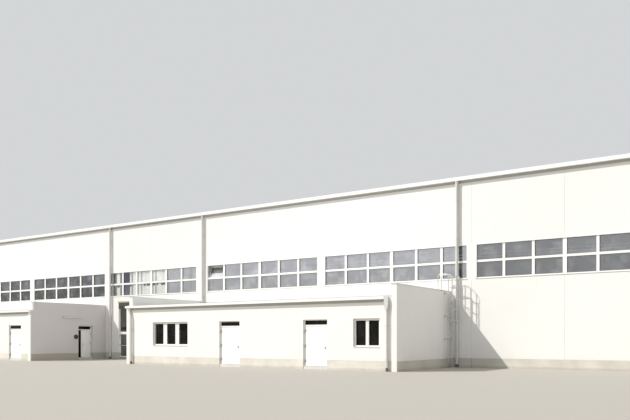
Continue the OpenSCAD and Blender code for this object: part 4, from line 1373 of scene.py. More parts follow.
def close_shells(piece: bpy.types.Object) -> bpy.types.Object:
    """Merges doubles and turns every face of a piece outwards.

    Args:
        piece: A mesh object of closed shells.

    Returns:
        The same piece.
    """
    shape = bmesh.new()
    shape.from_mesh(piece.data)
    bmesh.ops.remove_doubles(shape, verts=shape.verts, dist=WELD)
    bmesh.ops.recalc_face_normals(shape, faces=shape.faces)
    shape.to_mesh(piece.data)
    shape.free()
    return piece


class Shape:
    """A mesh drawn from prisms and turned forms, in the building's frame."""

    def __init__(self, matrix: Matrix | None = None) -> None:
        """Starts an empty mesh, whose own frame stands where the matrix says."""
        self.mesh = bmesh.new()
        self.matrix = matrix or Matrix.Identity(4)

    def ring(self, places: Iterable[Vector]) -> list[bmesh.types.BMVert]:
        """Adds corners at some places of the drawing's own frame."""
        return [self.mesh.verts.new(self.matrix @ place) for place in places]

    def band(self, one: list[bmesh.types.BMVert], other: list[bmesh.types.BMVert]) -> None:
        """Adds a band of faces between two rings.

        Args:
            one: The corners of one ring.
            other: As many corners of the other ring, in the same turn.
        """
        for i, corner in enumerate(one):
            after = (i + 1) % len(one)
            self.mesh.faces.new((corner, one[after], other[after], other[i]))

    def prism(self, outline: Sequence[Vector], run: Vector) -> None:
        """Adds a closed prism.

        Args:
            outline: Corners of one end, in turn.
            run: From one end to the other.
        """
        near, far = self.ring(outline), self.ring(corner + run for corner in outline)
        self.mesh.faces.new(near)
        self.mesh.faces.new(far[::-1])
        self.band(near[::-1], far[::-1])

    def block(self, low: Sequence[float], high: Sequence[float]) -> None:
        """Adds a block.

        Args:
            low: Its lowest corner.
            high: Its highest corner.
        """
        (x0, y0, z0), (x1, y1, z1) = low, high
        foot = [Vector((x, y, z0)) for x, y in ((x0, y0), (x1, y0), (x1, y1), (x0, y1))]
        self.prism(foot, UP * (z1 - z0))

    def surround(self, pane: Pane, width: float, out: float, seat: float = 0.001) -> None:
        """Adds a flat ring round a pane, on its frame's face.

        Args:
            pane: The pane.
            width: Width of the ring.
            out: How far the ring stands out from the face.
            seat: How far it reaches into the frame and over the pane's edges.
        """
        loops = [self.ring(pane.corners(inset, depth))
                 for inset, depth in ((seat, seat), (seat, -out), (-width, -out), (-width, seat))]
        for one, other in zip(loops, loops[1:] + loops[:1]):
            self.band(one, other)

    def turned(self, centre: Vector, axis: Vector, profile: Sequence[tuple[float, float]],
               steps: int = 20) -> None:
        """Adds a turned form.

        Args:
            centre: Foot of its axis.
            axis: Direction of its axis.
            profile: Radius and height of each ring, from the foot to the head.
            steps: Sides of the form.
        """
        turn = axis.to_track_quat("Z", "Y").to_matrix()
        angles = [math.tau * i / steps for i in range(steps)]
        rings = [self.ring(centre + turn @ Vector((radius * math.cos(a), radius * math.sin(a), height))
                           for a in angles) for radius, height in profile]
        for lower, upper in zip(rings, rings[1:]):
            self.band(lower, upper)
        self.mesh.faces.new(rings[0][::-1])
        self.mesh.faces.new(rings[-1])

    def object(self, name: str, finish: bpy.types.Material, bevel: float = 0.0) -> bpy.types.Object:
        """Ends the drawing.

        Args:
            name: The piece's name.
            finish: Its material.
            bevel: Width of the chamfer on its sharp edges.

        Returns:
            The piece, a plain mesh at the origin.
        """
        bmesh.ops.recalc_face_normals(self.mesh, faces=self.mesh.faces)
        if bevel:
            sharp = [e for e in self.mesh.edges if e.is_manifold and e.calc_face_angle(0.0) > SHARP]
            bmesh.ops.bevel(self.mesh, geom=sharp, offset=bevel, segments=1, affect="EDGES",
                            clamp_overlap=True)
        mesh = bpy.data.meshes.new(name)
        self.mesh.to_mesh(mesh)
        self.mesh.free()
        mesh.materials.append(finish)
        return placed(name, mesh)


# What the sub-assemblies share


@dataclass(frozen=True)
class Grid:
    """Panes of one size in even rows and columns, on a wall that is turned to the front."""

    panes: tuple[Pane, ...]

    @property
    def middle(self) -> Vector:
        """Centre of the grid, in the frame's face."""
        across = (min(p.left for p in self.panes) + max(p.right for p in self.panes)) / 2
        along = (min(p.foot for p in self.panes) + max(p.head for p in self.panes)) / 2
        return Vector((across, self.panes[0].face, along))

    def sizes(self, bead: float) -> dict[str, Any]:
        """The sizes that its beads take.

        Args:
            bead: Radius of a bead.

        Returns:
            The sizes, by their names in the tree.
        """
        lefts, feet = sorted({p.left for p in self.panes}), sorted({p.foot for p in self.panes})
        return {
            "Columns": len(lefts), "Rows": len(feet), "Bead Radius": bead,
            "Step Across": (lefts[-1] - lefts[0]) / max(1, len(lefts) - 1),
            "Step Up": (feet[-1] - feet[0]) / max(1, len(feet) - 1),
            "Pane Width": self.panes[0].width, "Pane Height": self.panes[0].height}


def halves(panes: list[Pane]) -> Iterator[Grid]:
    """Splits a window at its wide middle bar.

    Args:
        panes: The panes of the window.

    Yields:
        The grids on its two sides.
    """
    middle = Grid(tuple(panes)).middle.x
    for side in (-1.0, 1.0):
        yield Grid(tuple(p for p in panes if p.left * side > middle * side))


@dataclass(frozen=True)
class Slope:
    """The flat top of a roof, which rises along Y."""

    front: Vector
    back: Vector

    @classmethod
    def of(cls, solid: Solid) -> "Slope":
        """Reads a roof's top from its corners.

        Args:
            solid: The roof.

        Returns:
            Its top.
        """
        low, high = solid.low, solid.high
        tops = [max(p.z for p in solid.points if abs(p.y - y) < NEAR) for y in (low.y, high.y)]
        return cls(Vector((low.x, low.y, tops[0])), Vector((high.x, high.y, tops[1])))

    @property
    def normal(self) -> Vector:
        """The direction that the top faces."""
        run = self.back - self.front
        return Vector((0.0, -run.z, run.y)).normalized()

    def at(self, x: float, y: float, lift: float = 0.0) -> Vector:
        """A place on the top or so far over it."""
        share = (y - self.front.y) / (self.back.y - self.front.y)
        return Vector((x, y, self.front.z + share * (self.back.z - self.front.z) + lift))


@dataclass(frozen=True)
class Door:
    """A hinged leaf of the building, with a frame of its own that starts at its hinge line."""

    body: str
    leaf: str
    pivot: Vector
    turn: float
    mirrored: bool

    @property
    def glazed(self) -> bool:
        """Whether the leaf is the glazed one of the entrance."""
        return self.leaf.startswith("entrance")

    @property
    def matrix(self) -> Matrix:
        """From the leaf's own frame to the building's."""
        mirror = Matrix.Diagonal((-1.0 if self.mirrored else 1.0, 1.0, 1.0, 1.0))
        at = Matrix.Translation((self.pivot.x, self.pivot.y, 0.0))
        return at @ Matrix.Rotation(self.turn, 4, "Z") @ mirror

    def own(self, node: str) -> Solid:
        """The points of a node of the leaf, in the leaf's own frame."""
        back = self.matrix.inverted()
        return Solid(tuple(back @ v.co for v in frame["nodes"][node].data.vertices))


def doors() -> list[Door]:
    """Reads the doors from the frame's joints.

    Returns:
        The doors. The one whose range starts below zero is in an end wall, hung on its other side, and
        stands open by as much at rest.
    """
    found = []
    behaviour = frame["record"]["behaviour"]
    for joint in behaviour["joints"]:
        leaf = behaviour["bodies"][joint["child"]][0]
        ajar = math.radians(-joint["range_deg"][0])
        in_end_wall = ajar > 0.0
        turn = Wall.RIGHT.turn + ajar if in_end_wall else 0.0
        found.append(Door(joint["child"], leaf, Vector(joint["pos_m"]), turn, in_end_wall))
    return found


@dataclass
class Assembly(ABC):
    """Pieces that are made and dressed together."""

    palette: Palette

    @abstractmethod
    def build(self) -> None:
        """Makes the pieces."""

    def keep(self, piece: bpy.types.Object, slot: str, body: str = BUILDING) -> None:
        """Gives a finished piece to its body, and reports it.

        Args:
            piece: The piece.
            slot: The record's material slot; not used.
            body: The body that it rides on.
        """
        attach(piece, body)
        LOG.info("%s rides on %s with %d faces", piece.name, body, len(piece.data.polygons))

    def beads(self, routes: Routes, name: str, finish: str, radius: float,
              sides: int = 6) -> bpy.types.Object:
        """Round beads along routes."""
        return Bead(name).make(routes, name, self.palette[finish], {"Sides": sides, "Radius": radius})

    def copied(self, tree: Pattern, routes: Routes, name: str, finish: str, part: Shape,
               sizes: dict[str, Any] | None = None) -> bpy.types.Object:
        """Runs a tree that copies a part, and clears the part away.

        Args:
            tree: The tree.
            routes: Where the copies go.
            name: The new piece's name.
            finish: Its finish.
            part: The part.
            sizes: The tree's other sizes.

        Returns:
            The piece.
        """
        original = part.object(f"{name}_part", self.palette[finish])
        piece = tree.make(routes, name, self.palette[finish], {"Part": original, **(sizes or {})})
        mesh = original.data
        bpy.data.objects.remove(original)
        bpy.data.meshes.remove(mesh)
        return piece


# Sub-assemblies


@dataclass
class PackedNodes(Assembly):
    """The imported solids, each dressed in the finish of its slot or in one of its own."""

    reach: float = 0.03
    hinge_out: float = 0.0115
    leaf_t: float = 0.026
    highest: float = 2.0
    apart: dict[str, str] = field(default_factory=lambda: {
        "annex_glass": "dim_glass", "entrance_glass": "entrance_glass",
        "entrance_leaf_glass": "entrance_glass", "wall_lamp": "lamp_housing",
        "annex_plinths": "annex_plinth", "annex_floors": "doorstep"})

    def build(self) -> None:
        """Dresses every node."""
        slots = {row["node"]: row["material_slot"] for row in frame["record"]["subparts"]} | self.apart
        own = self.leaves() | self.door_frames()
        for name, node in frame["nodes"].items():
            material = own[name].material() if name in own else self.palette[slots[name]]
            for place in node.material_slots:
                place.material = material
            LOG.info("%s wears %s", name, material.name)

    def leaves(self) -> dict[str, Finish]:
        """Mixes the finishes of the door leaves, each in its leaf's own frame.

        Returns:
            The finishes, by their nodes.
        """
        found: dict[str, Finish] = {}
        for door in doors():
            coating = self.palette.finishes["white_metal" if door.glazed else "door_leaf"]
            found[door.leaf] = HungLeaf(
                f"{door.leaf}_coating", coating.tone, coating.rough, pivot=tuple(door.pivot[:2]),
                turn=door.turn, skin=(self.hinge_out, self.hinge_out + self.leaf_t))
        return found

    def door_frames(self) -> dict[str, Finish]:
        """Mixes the finishes of the door frames, with steel where their hinges stand out.

        Returns:
            The finishes, by their nodes.
        """
        boxes: dict[str, list[tuple[Vector, Vector]]] = {"annex_door_frames": [], "entrance_frame": []}
        for door in doors():
            ajar = door.turn - (Wall.RIGHT.turn if door.mirrored else 0.0)
            closed = Door(door.body, door.leaf, door.pivot, door.turn - ajar, door.mirrored)
            span = Solid(tuple(closed.matrix @ Vector((x, y, z)) for x in (-self.reach, self.reach / 2)
                               for y in (-self.reach, self.hinge_out) for z in (0.0, self.highest)))
            boxes["entrance_frame" if door.glazed else "annex_door_frames"].append((span.low, span.high))
        coating = self.palette.finishes["window_frame"]
        return {node: FrameCoating(f"{node}_coating", coating.tone, coating.rough, hinges=tuple(found))
                for node, found in boxes.items()}


@dataclass
class WallJoints(Assembly):
    """Sealant in the open joints between wall panels, piers and plinth units."""

    widest: float = 0.015
    narrowest: float = 0.002
    set_back: float = 0.03
    recess: float = 0.008
    spare: float = 0.001
    shortest: float = 0.05
    nodes: tuple[str, ...] = ("hall_plinth", "front_lower_panels", "front_upper_panels", "back_panels",
                              "gable_panels", "window_piers")

    def build(self) -> None:
        """Lays a bead in every joint."""
        routes = Routes()
        solids = [solid for node in self.nodes for solid in solids_of(node)]
        for wall in Wall:
            seen = [solid.seen_on(wall) for solid in solids]
            face = min(solid.low.y for solid in seen)
            flush = [(solid.low, solid.high) for solid in seen if solid.low.y < face + self.set_back]
            for left in flush:
                for right in flush:
                    self.joint(routes, wall, left, right)
        self.keep(self.beads(routes, "joint_sealant", "sealant", 1.0, sides=8), "wall_panel")

    def joint(self, routes: Routes, wall: Wall, left: tuple[Vector, Vector],
              right: tuple[Vector, Vector]) -> None:
        """Adds the joint between two units, if they are neighbours.

        Args:
            routes: The beads' routes.
            wall: The wall that the units are on.
            left: Lowest and highest corner of the unit on the left.
            right: Lowest and highest corner of the unit on the right.
        """
        gap = right[0].x - left[1].x
        foot, head = max(left[0].z, right[0].z), min(left[1].z, right[1].z)
        if not self.narrowest < gap < self.widest or head - foot < self.shortest:
            return
        at = Vector((left[1].x + gap / 2, max(left[0].y, right[0].y) + self.recess, 0.0))
        routes.line(*(wall.matrix @ (at + UP * z) for z in (foot, head)), swell=gap / 2 + self.spare)


@dataclass
class Windows(Assembly):
    """Gaskets round the panes of every fixed window, and caps on the hall's drain slots."""

    gasket: float = 0.005
    cap_w: float = 0.022
    cap_h: float = 0.006
    cap_out: float = 0.003
    cap_drop: float = 0.012

    def build(self) -> None:
        """Makes the gaskets and the caps."""
        beads = PaneBeads("pane_beads")
        hall = [*windows_of("front_window_frames"), *windows_of("rear_window_frames")]
        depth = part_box("front_window_glass")[0].y - hall[0][1][0].face
        self.lay(beads, "hall_window_gaskets",
                 [(wall, half) for wall, panes in hall for half in halves(panes)], depth)
        annex = list(windows_of("annex_window_frames"))
        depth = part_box("annex_glass")[0].y - annex[0][1][0].face
        for count, name in ((3, "wide_window_gaskets"), (2, "narrow_window_gaskets")):
            self.lay(beads, name, [(wall, Grid(tuple(panes))) for wall, panes in annex
                                   if len(panes) == count], depth)
        self.caps(hall)

    def lay(self, beads: Pattern, name: str, grids: list[tuple[Wall, Grid]], depth: float) -> None:
        """Lays gaskets in alike grids.

        Args:
            beads: The tree.
            name: The piece's name.
            grids: The grids and their walls.
            depth: From the frame's face to the glass.
        """
        routes = Routes()
        for wall, grid in grids:
            routes.point(wall.matrix @ (grid.middle - OUT * (depth - self.gasket)), wall.turn)
        piece = beads.make(routes, name, self.palette["gasket"], grids[0][1].sizes(self.gasket))
        self.keep(piece, "fitting")

    def caps(self, windows: list[tuple[Wall, list[Pane]]]) -> None:
        """Puts a cap under each pane of the lower row.

        Args:
            windows: The hall's windows.
        """
        routes = Routes()
        for wall, panes in windows:
            foot = min(p.foot for p in panes)
            for pane in panes:
                if pane.foot == foot:
                    at = Vector(((pane.left + pane.right) / 2, pane.face, foot - self.cap_drop))
                    routes.point(wall.matrix @ at, wall.turn)
        cap = Shape()
        cap.block((-self.cap_w / 2, -self.cap_out, -self.cap_h / 2), (self.cap_w / 2, 0.0, self.cap_h / 2))
        piece = self.copied(Copies("drain_caps"), routes, "window_drain_caps", "window_frame", cap)
        self.keep(piece, "window_frame")


@dataclass
class Casings(Assembly):
    """White casings that lie in the walls' faces round the hall's windows, over their sunk frames."""

    reveal: float = 0.005
    lap: float = 0.008
    out: float = 0.002
    edge: float = 0.001

    def build(self) -> None:
        """Makes a casing of two sides and a head for each window."""
        casing = Shape()
        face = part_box("front_upper_panels")[0].y
        half_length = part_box("window_piers")[1].x
        for node in ("front_window_frames", "rear_window_frames"):
            for solid, (wall, panes) in zip(solids_of(node), windows_of(node)):
                front = face if wall in (Wall.FRONT, Wall.BACK) else -half_length
                self.case(casing, wall, panes, solid.seen_on(wall), front - self.out)
        self.keep(casing.object("window_casings", self.palette["window_frame"], self.edge), "window_frame")

    def case(self, casing: Shape, wall: Wall, panes: list[Pane], solid: Solid, front: float) -> None:
        """Adds one casing.

        Args:
            casing: The shape of all casings.
            wall: The window's wall.
            panes: Its panes.
            solid: Its frame.
            front: How far out the casing stands.
        """
        casing.matrix = wall.matrix
        left, right, head = panes[0].left, panes[-1].right, panes[-1].head
        inner = left - self.reveal, right + self.reveal, head + self.reveal
        outer = solid.low.x - self.lap, solid.high.x + self.lap, solid.high.z + self.lap
        back = panes[0].face
        casing.block((outer[0], front, panes[0].foot), (inner[0], back, inner[2]))
        casing.block((inner[1], front, panes[0].foot), (outer[1], back, inner[2]))
        casing.block((outer[0], front, inner[2]), (outer[1], back, outer[2]))


@dataclass
class PlinthCoat(Assembly):
    """A thin cement coat that brings the plinths nearly out to the faces of the walls over them."""

    hall_t: float = 0.018
    annex_t: float = 0.013
    seat: float = 0.001
    slack: float = 0.0005
    head_gap: float = 0.001

    def build(self) -> None:
        """Coats the hall's plinth and the annexes' plinths."""
        hall = solids_of("hall_plinth")
        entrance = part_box("entrance_frame")[0].x
        annexes = solids_of("annex_plinths")
        coat = Shape()
        for wall in Wall:
            self.coat(coat, hall, wall, self.hall_t)
        self.keep(coat.object("hall_plinth_coat", self.palette["plinth"]), "plinth")
        coat = Shape()
        for side in (-1.0, 1.0):
            units = [unit for unit in annexes if (unit.middle.x - entrance) * side > 0]
            for wall in (Wall.FRONT, Wall.RIGHT, Wall.LEFT):
                self.coat(coat, units, wall, self.annex_t)
        self.keep(coat.object("annex_plinth_coat", self.palette["annex_plinth"]), "plinth")

    def coat(self, coat: Shape, units: list[Solid], wall: Wall, thick: float) -> None:
        """Coats the units of one wall, and closes the hall's corners from the front and the back.

        Args:
            coat: The shape of the coat.
            units: Every unit of the building part.
            wall: The wall.
            thick: Thickness of the coat.
        """
        coat.matrix = wall.matrix
        seen = [unit.seen_on(wall) for unit in units]
        along = [unit for unit in seen if unit.size.x > unit.size.y]
        face = min(unit.low.y for unit in along)
        ends = min(unit.low.x for unit in seen), max(unit.high.x for unit in seen)
        corner = thick if wall in (Wall.FRONT, Wall.BACK) else 0.0
        for unit in seen:
            if abs(unit.low.y - face) > self.slack:
                continue
            left = unit.low.x - (corner if unit.low.x - ends[0] < self.slack else 0.0)
            right = unit.high.x + (corner if ends[1] - unit.high.x < self.slack else 0.0)
            top = unit.high.z - self.head_gap
            coat.block((left, face - thick, unit.low.z), (right, face + self.seat, top))


@dataclass
class Roofing(Assembly):
    """Lap seams and screws on the roofs, and the flashing where the annex roofs meet the hall."""

    seam_w: float = 0.04
    seam_t: float = 0.003
    seam_pitch: float = 0.75
    seam_clear: float = 0.15
    seat: float = 0.0005
    sheet_t: float = 0.004
    upstand: float = 0.075
    apron: float = 0.06
    pipe_clear: float = 0.01
    screw_r: float = 0.005
    screw_h: float = 0.004
    washer_h: float = 0.0015
    screw_pitch: float = 0.3
    screw_inset: float = 0.02
    screw_end: float = 0.1

    def build(self) -> None:
        """Makes the seams, the flashing and the screws."""
        hall = [Slope.of(solids_of(node)[0]) for node in ("roof_front_slope", "roof_back_slope")]
        annexes = [Slope.of(solid) for solid in solids_of("annex_roofs")]
        flashings = sorted(solids_of("roof_flashings"), key=lambda solid: solid.high.z)
        ridge = flashings[-1]
        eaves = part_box("hall_gutters")[0].z
        verges = [solid for solid in flashings[:-1] if solid.low.z > eaves]
        self.seams(hall + annexes, ridge)
        self.aprons(annexes)
        self.screws(hall, ridge, verges)

    def seams(self, slopes: list[Slope], ridge: Solid) -> None:
        """Lays a seam at every lap of the sheets.

        Args:
            slopes: The roofs.
            ridge: The flashing over the ridge, which the seams run up to.
        """
        routes = Routes()
        lift = self.seam_t / 2 - self.seat
        for slope in slopes:
            y0, y1 = slope.front.y, slope.back.y
            if y0 < 0:
                y1 = min(y1, ridge.low.y)
            else:
                y0 = max(y0, ridge.high.y)
            middle, half = (slope.front.x + slope.back.x) / 2, (slope.back.x - slope.front.x) / 2
            count = int((half - self.seam_clear) / self.seam_pitch)
            for i in range(-count, count + 1):
                x = middle + i * self.seam_pitch
                routes.line(slope.at(x, y0, lift), slope.at(x, y1, lift))
        piece = Strip("roof_seams").make(routes, "roof_seams", self.palette["seam"],
                                         {"Width": self.seam_w, "Height": self.seam_t})
        self.keep(piece, "roof_deck")

    def aprons(self, slopes: list[Slope]) -> None:
        """Folds a sheet up the hall's wall and over each annex roof, clear of the pipe that stands there.

        Args:
            slopes: The annexes' roofs.
        """
        pipe = max(solids_of("hall_downpipes"), key=lambda solid: solid.low.z)
        sheet = Shape()
        for slope in slopes:
            x0, x1, wall = slope.front.x, slope.back.x, slope.back.y
            sheet.block((x0, wall - self.sheet_t, slope.back.z), (x1, wall, slope.back.z + self.upstand))
            start = pipe.high.x + self.pipe_clear if x0 < pipe.middle.x < x1 else x0
            foot = wall - self.apron
            outline = [slope.at(start, y, lift) for y, lift in (
                (foot, 0.0), (wall, 0.0), (wall, self.sheet_t), (foot, self.sheet_t))]
            sheet.prism(outline, ALONG * (x1 - start))
        self.keep(sheet.object("abutment_flashing", self.palette["flashing"]), "flashing")

    def screws(self, slopes: list[Slope], ridge: Solid, verges: list[Solid]) -> None:
        """Sets screws along the edges of the ridge flashing and down the verge flashings.

        Args:
            slopes: The hall's roofs.
            ridge: The flashing over the ridge.
            verges: The flashings along the gables' edges.
        """
        routes = Routes()
        for slope in slopes:
            lift = ridge.high.z - slope.at(0.0, 0.0).z
            side = 1.0 if slope.front.y > 0 else -1.0
            y = side * (ridge.high.y - self.screw_inset)
            ends = ridge.low.x + self.screw_end, ridge.high.x - self.screw_end
            routes.line(*(slope.at(x, y, lift) for x in ends), facing=slope.normal)
            for verge in verges:
                if verge.middle.y * side > 0:
                    x, ends = verge.middle.x, (verge.low.y + self.screw_end, verge.high.y - self.screw_end)
                    routes.line(*(slope.at(x, end, lift) for end in ends), facing=slope.normal)
        piece = Screws("roof_screws").make(routes, "roof_screws", self.palette["galvanised"], {
            "Head Radius": self.screw_r, "Head Height": self.screw_h, "Washer Height": self.washer_h,
            "Pitch": self.screw_pitch})
        self.keep(piece, "galvanised")


@dataclass
class Rainwater(Assembly):
    """Dark strips of painted shade and straps under the gutters, and bolted lugs on the clips of the
    downpipes.
    """

    shade_strip_h: float = 0.07
    shade_strip_t: float = 0.008
    metal_t: float = 0.008
    strap_w: float = 0.012
    strap_t: float = 0.003
    strap_drop: float = 0.006
    strap_pitch: float = 0.5
    hall_ring: float = 0.046
    annex_ring: float = 0.036
    lug_l: float = 0.02
    lug_t: float = 0.01
    lug_h: float = 0.02
    lug_seat: float = 0.003
    bolt_r: float = 0.0055
    bolt_h: float = 0.005
    clip_gap: float = 0.1
    slack: float = 0.001

    def build(self) -> None:
        """Makes the dark strips of painted shade, the straps and the lugs."""
        gutters = [*solids_of("hall_gutters"), *solids_of("annex_gutters")]
        self.closures(gutters)
        self.straps(gutters)
        for node, ring, name in (("hall_downpipes", self.hall_ring, "hall_pipe_lugs"),
                                 ("annex_downpipes", self.annex_ring, "annex_pipe_lugs")):
            self.lugs(node, ring, name)

    def closures(self, gutters: list[Solid]) -> None:
        """Lays a dark strip of painted shade between each gutter and the head of its wall.

        Args:
            gutters: The gutters.
        """
        strips = Shape()
        for gutter in gutters:
            low, high = gutter.low, gutter.high
            ends = (high.y - self.shade_strip_t, high.y) if low.y < 0 else (low.y, low.y + self.shade_strip_t)
            # Painted shade: a dark strip on the wall just below the gutter
            strips.block((low.x, ends[0], low.z - self.shade_strip_h), (high.x, ends[1], low.z))
        self.keep(strips.object("eaves_closures", self.palette["closure"]), "fitting")

    def straps(self, gutters: list[Solid]) -> None:
        """Spans each gutter with flat straps at an even pitch.

        Args:
            gutters: The gutters.
        """
        routes = Routes()
        for gutter in gutters:
            ends = (gutter.low.x + self.strap_pitch / 2, gutter.high.x - self.strap_pitch / 2)
            routes.line(*(Vector((x, gutter.middle.y, gutter.high.z - self.strap_drop)) for x in ends))
        half = gutters[0].size.y / 2 - self.metal_t
        strap = Shape()
        corner = Vector((self.strap_w / 2, half, self.strap_t / 2))
        strap.block(-corner, corner)
        piece = self.copied(Brackets("gutter_straps"), routes, "gutter_straps", "galvanised", strap,
                            {"Pitch": self.strap_pitch})
        self.keep(piece, "galvanised")

    def lugs(self, node: str, ring: float, name: str) -> None:
        """Puts a lug with a bolt on both sides of every clip.

        Args:
            node: The node of the pipes.
            ring: Radius of a clip.
            name: The new piece's name.
        """
        routes = Routes()
        for pipe in solids_of(node):
            wall = Wall.FRONT if pipe.middle.y < 0 else Wall.BACK
            for middle in self.clips(pipe.seen_on(wall), ring):
                routes.point(wall.matrix @ middle, wall.turn)
        lug = Shape()
        for side in (-1.0, 1.0):
            left, right = sorted((side * (ring - self.lug_seat), side * (ring + self.lug_l)))
            lug.block((left, -self.lug_t / 2, -self.lug_h / 2), (right, self.lug_t / 2, self.lug_h / 2))
            head = Vector((side * (ring + self.lug_l / 2), -self.lug_t / 2, 0.0))
            lug.turned(head, OUT, ((self.bolt_r, 0.0), (self.bolt_r, self.bolt_h)), steps=6)
        self.keep(self.copied(Copies(name), routes, name, "galvanised", lug), "pipe")

    def clips(self, pipe: Solid, ring: float) -> Iterator[Vector]:
        """Finds the clips of a pipe by their width.

        Args:
            pipe: The pipe, seen on a wall that is turned to the front.
            ring: Radius of a clip.

        Yields:
            The middle of each clip, on the pipe's axis.
        """
        rings = {z: Solid(tuple(points)) for z, points in levels_of(pipe.points, 2).items()}
        found = {z: level for z, level in rings.items() if abs(level.size.x - 2 * ring) < self.slack}
        for foot, head in runs_in(found, self.clip_gap):
            level = found[foot]
            yield Vector((level.middle.x, level.low.y + ring, (foot + head) / 2))


@dataclass
class AnnexOpenings(Assembly):
    """Sash frames in the annexes' windows, and gaskets round the lights over doors and entrance."""

    sash_w: float = 0.028
    sash_out: float = 0.006
    edge: float = 0.0015
    gasket: float = 0.004
    light_h: float = 0.2

    def build(self) -> None:
        """Makes the sashes and the gaskets."""
        sashes = Shape()
        for wall, panes in windows_of("annex_window_frames"):
            sashes.matrix = wall.matrix
            for pane in panes:
                sashes.surround(pane, self.sash_w, self.sash_out)
        piece = sashes.object("annex_sashes", self.palette["window_frame"], self.edge)
        self.keep(piece, "window_frame")
        lights = [glass for glass in solids_of("annex_glass") if glass.size.z < self.light_h]
        routes = Routes()
        for glass in lights + solids_of("entrance_glass"):
            wall = Wall.RIGHT if glass.size.x < glass.size.y else Wall.FRONT
            corners = pane_before(glass.seen_on(wall)).corners(self.gasket, -self.gasket)
            routes.line(*(wall.matrix @ corner for corner in corners), closed=True)
        self.keep(self.beads(routes, "light_gaskets", "gasket", self.gasket), "fitting")


@dataclass
class EntranceHead(Assembly):
    """The dark panel that carries the entrance's upper light on to the lintel over it."""

    panel_h: float = 0.24
    panel_t: float = 0.012
    lintel_h: float = 0.055
    lintel_t: float = 0.018
    lap: float = 0.03
    edge: float = 0.002

    def build(self) -> None:
        """Makes the panel and the lintel."""
        light = max(solids_of("entrance_glass"), key=lambda solid: solid.high.z)
        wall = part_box("front_upper_panels")[0].y
        left, right = light.low.x - self.lap, light.high.x + self.lap
        top = light.high.z + self.panel_h
        panel = Shape()
        panel.block((left, wall - self.panel_t, light.high.z), (right, wall, top))
        self.keep(panel.object("entrance_panel", self.palette["panel_glass"], self.edge), "glass")
        lintel = Shape()
        lintel.block((left - self.lap, wall - self.lintel_t, top),
                     (right + self.lap, wall, top + self.lintel_h))
        self.keep(lintel.object("entrance_lintel", self.palette["lintel"], self.edge), "concrete_frame")


@dataclass
class DoorSets(Assembly):
    """Rosettes and locks of the plain doors, and the pull and gaskets of the glazed one."""

    skins: tuple[float, float] = (0.012, 0.037)
    hinge_r: float = 0.0065
    lever_r: float = 0.007
    rose_r: float = 0.02
    rose_t: float = 0.004
    lock_r: float = 0.013
    plug_r: float = 0.006
    lock_drop: float = 0.045
    round_edge: float = 0.001
    stile_w: float = 0.04
    pull_z: tuple[float, float] = (0.46, 0.64)
    pull_r: float = 0.006
    pull_out: float = 0.03
    neck_r: float = 0.0042
    gasket: float = 0.004

    def build(self) -> None:
        """Fits every door."""
        for door in doors():
            if door.glazed:
                self.pull(door)
                self.gaskets(door)
            else:
                self.lock(door)

    def lock(self, door: Door) -> None:
        """Fits rosettes under the levers and a lock below them, on both skins.

        Args:
            door: A plain door.
        """
        lever = Solid(tuple(p for p in door.own(door.leaf).points if p.y < -self.hinge_r))
        spindle = Vector((lever.high.x - self.lever_r, 0.0, lever.middle.z))
        metal = Shape(door.matrix)
        for skin, axis in zip(self.skins, (OUT, -OUT)):
            at = spindle - OUT * skin
            metal.turned(at, axis, self.button(self.rose_r))
            below = at - UP * self.lock_drop
            metal.turned(below, axis, self.button(self.lock_r))
            metal.turned(below, axis, ((self.plug_r, 0.0), (self.plug_r, self.rose_t + self.round_edge)))
        self.keep(metal.object(f"{door.leaf}_rosettes", self.palette["steel"]), "galvanised", door.body)

    def button(self, radius: float) -> tuple[tuple[float, float], ...]:
        """The profile of a flat button with a rounded edge."""
        edge = self.round_edge
        return (radius, 0.0), (radius, self.rose_t - edge), (radius - edge, self.rose_t)

    def pull(self, door: Door) -> None:
        """Fits an upright pull on the free stile.

        Args:
            door: The glazed door.
        """
        leaf = door.own(door.leaf)
        foot, head = self.pull_z
        radius, edge, length = self.pull_r, self.round_edge, head - foot
        at = Vector((leaf.high.x - self.stile_w / 2, self.skins[0] - self.pull_out, 0.0))
        bar = Shape(door.matrix)
        bar.turned(at + UP * foot, UP, ((radius - edge, 0.0), (radius, edge), (radius, length - edge),
                                        (radius - edge, length)))
        for z in (foot + self.rose_r, head - self.rose_r):
            bar.turned(Vector((at.x, self.skins[0], z)), OUT, (
                (self.rose_r / 2, 0.0), (self.rose_r / 2, edge), (self.neck_r, edge),
                (self.neck_r, self.pull_out)))
        self.keep(bar.object("entrance_pull", self.palette["steel"]), "galvanised", door.body)

    def gaskets(self, door: Door) -> None:
        """Lays gaskets round the door's panes.

        Args:
            door: The glazed door.
        """
        routes = Routes()
        for glass in solids_of("entrance_leaf_glass"):
            routes.line(*pane_before(glass).corners(self.gasket, -self.gasket), closed=True)
        piece = self.beads(routes, "entrance_leaf_gaskets", "gasket", self.gasket)
        self.keep(piece, "fitting", door.body)


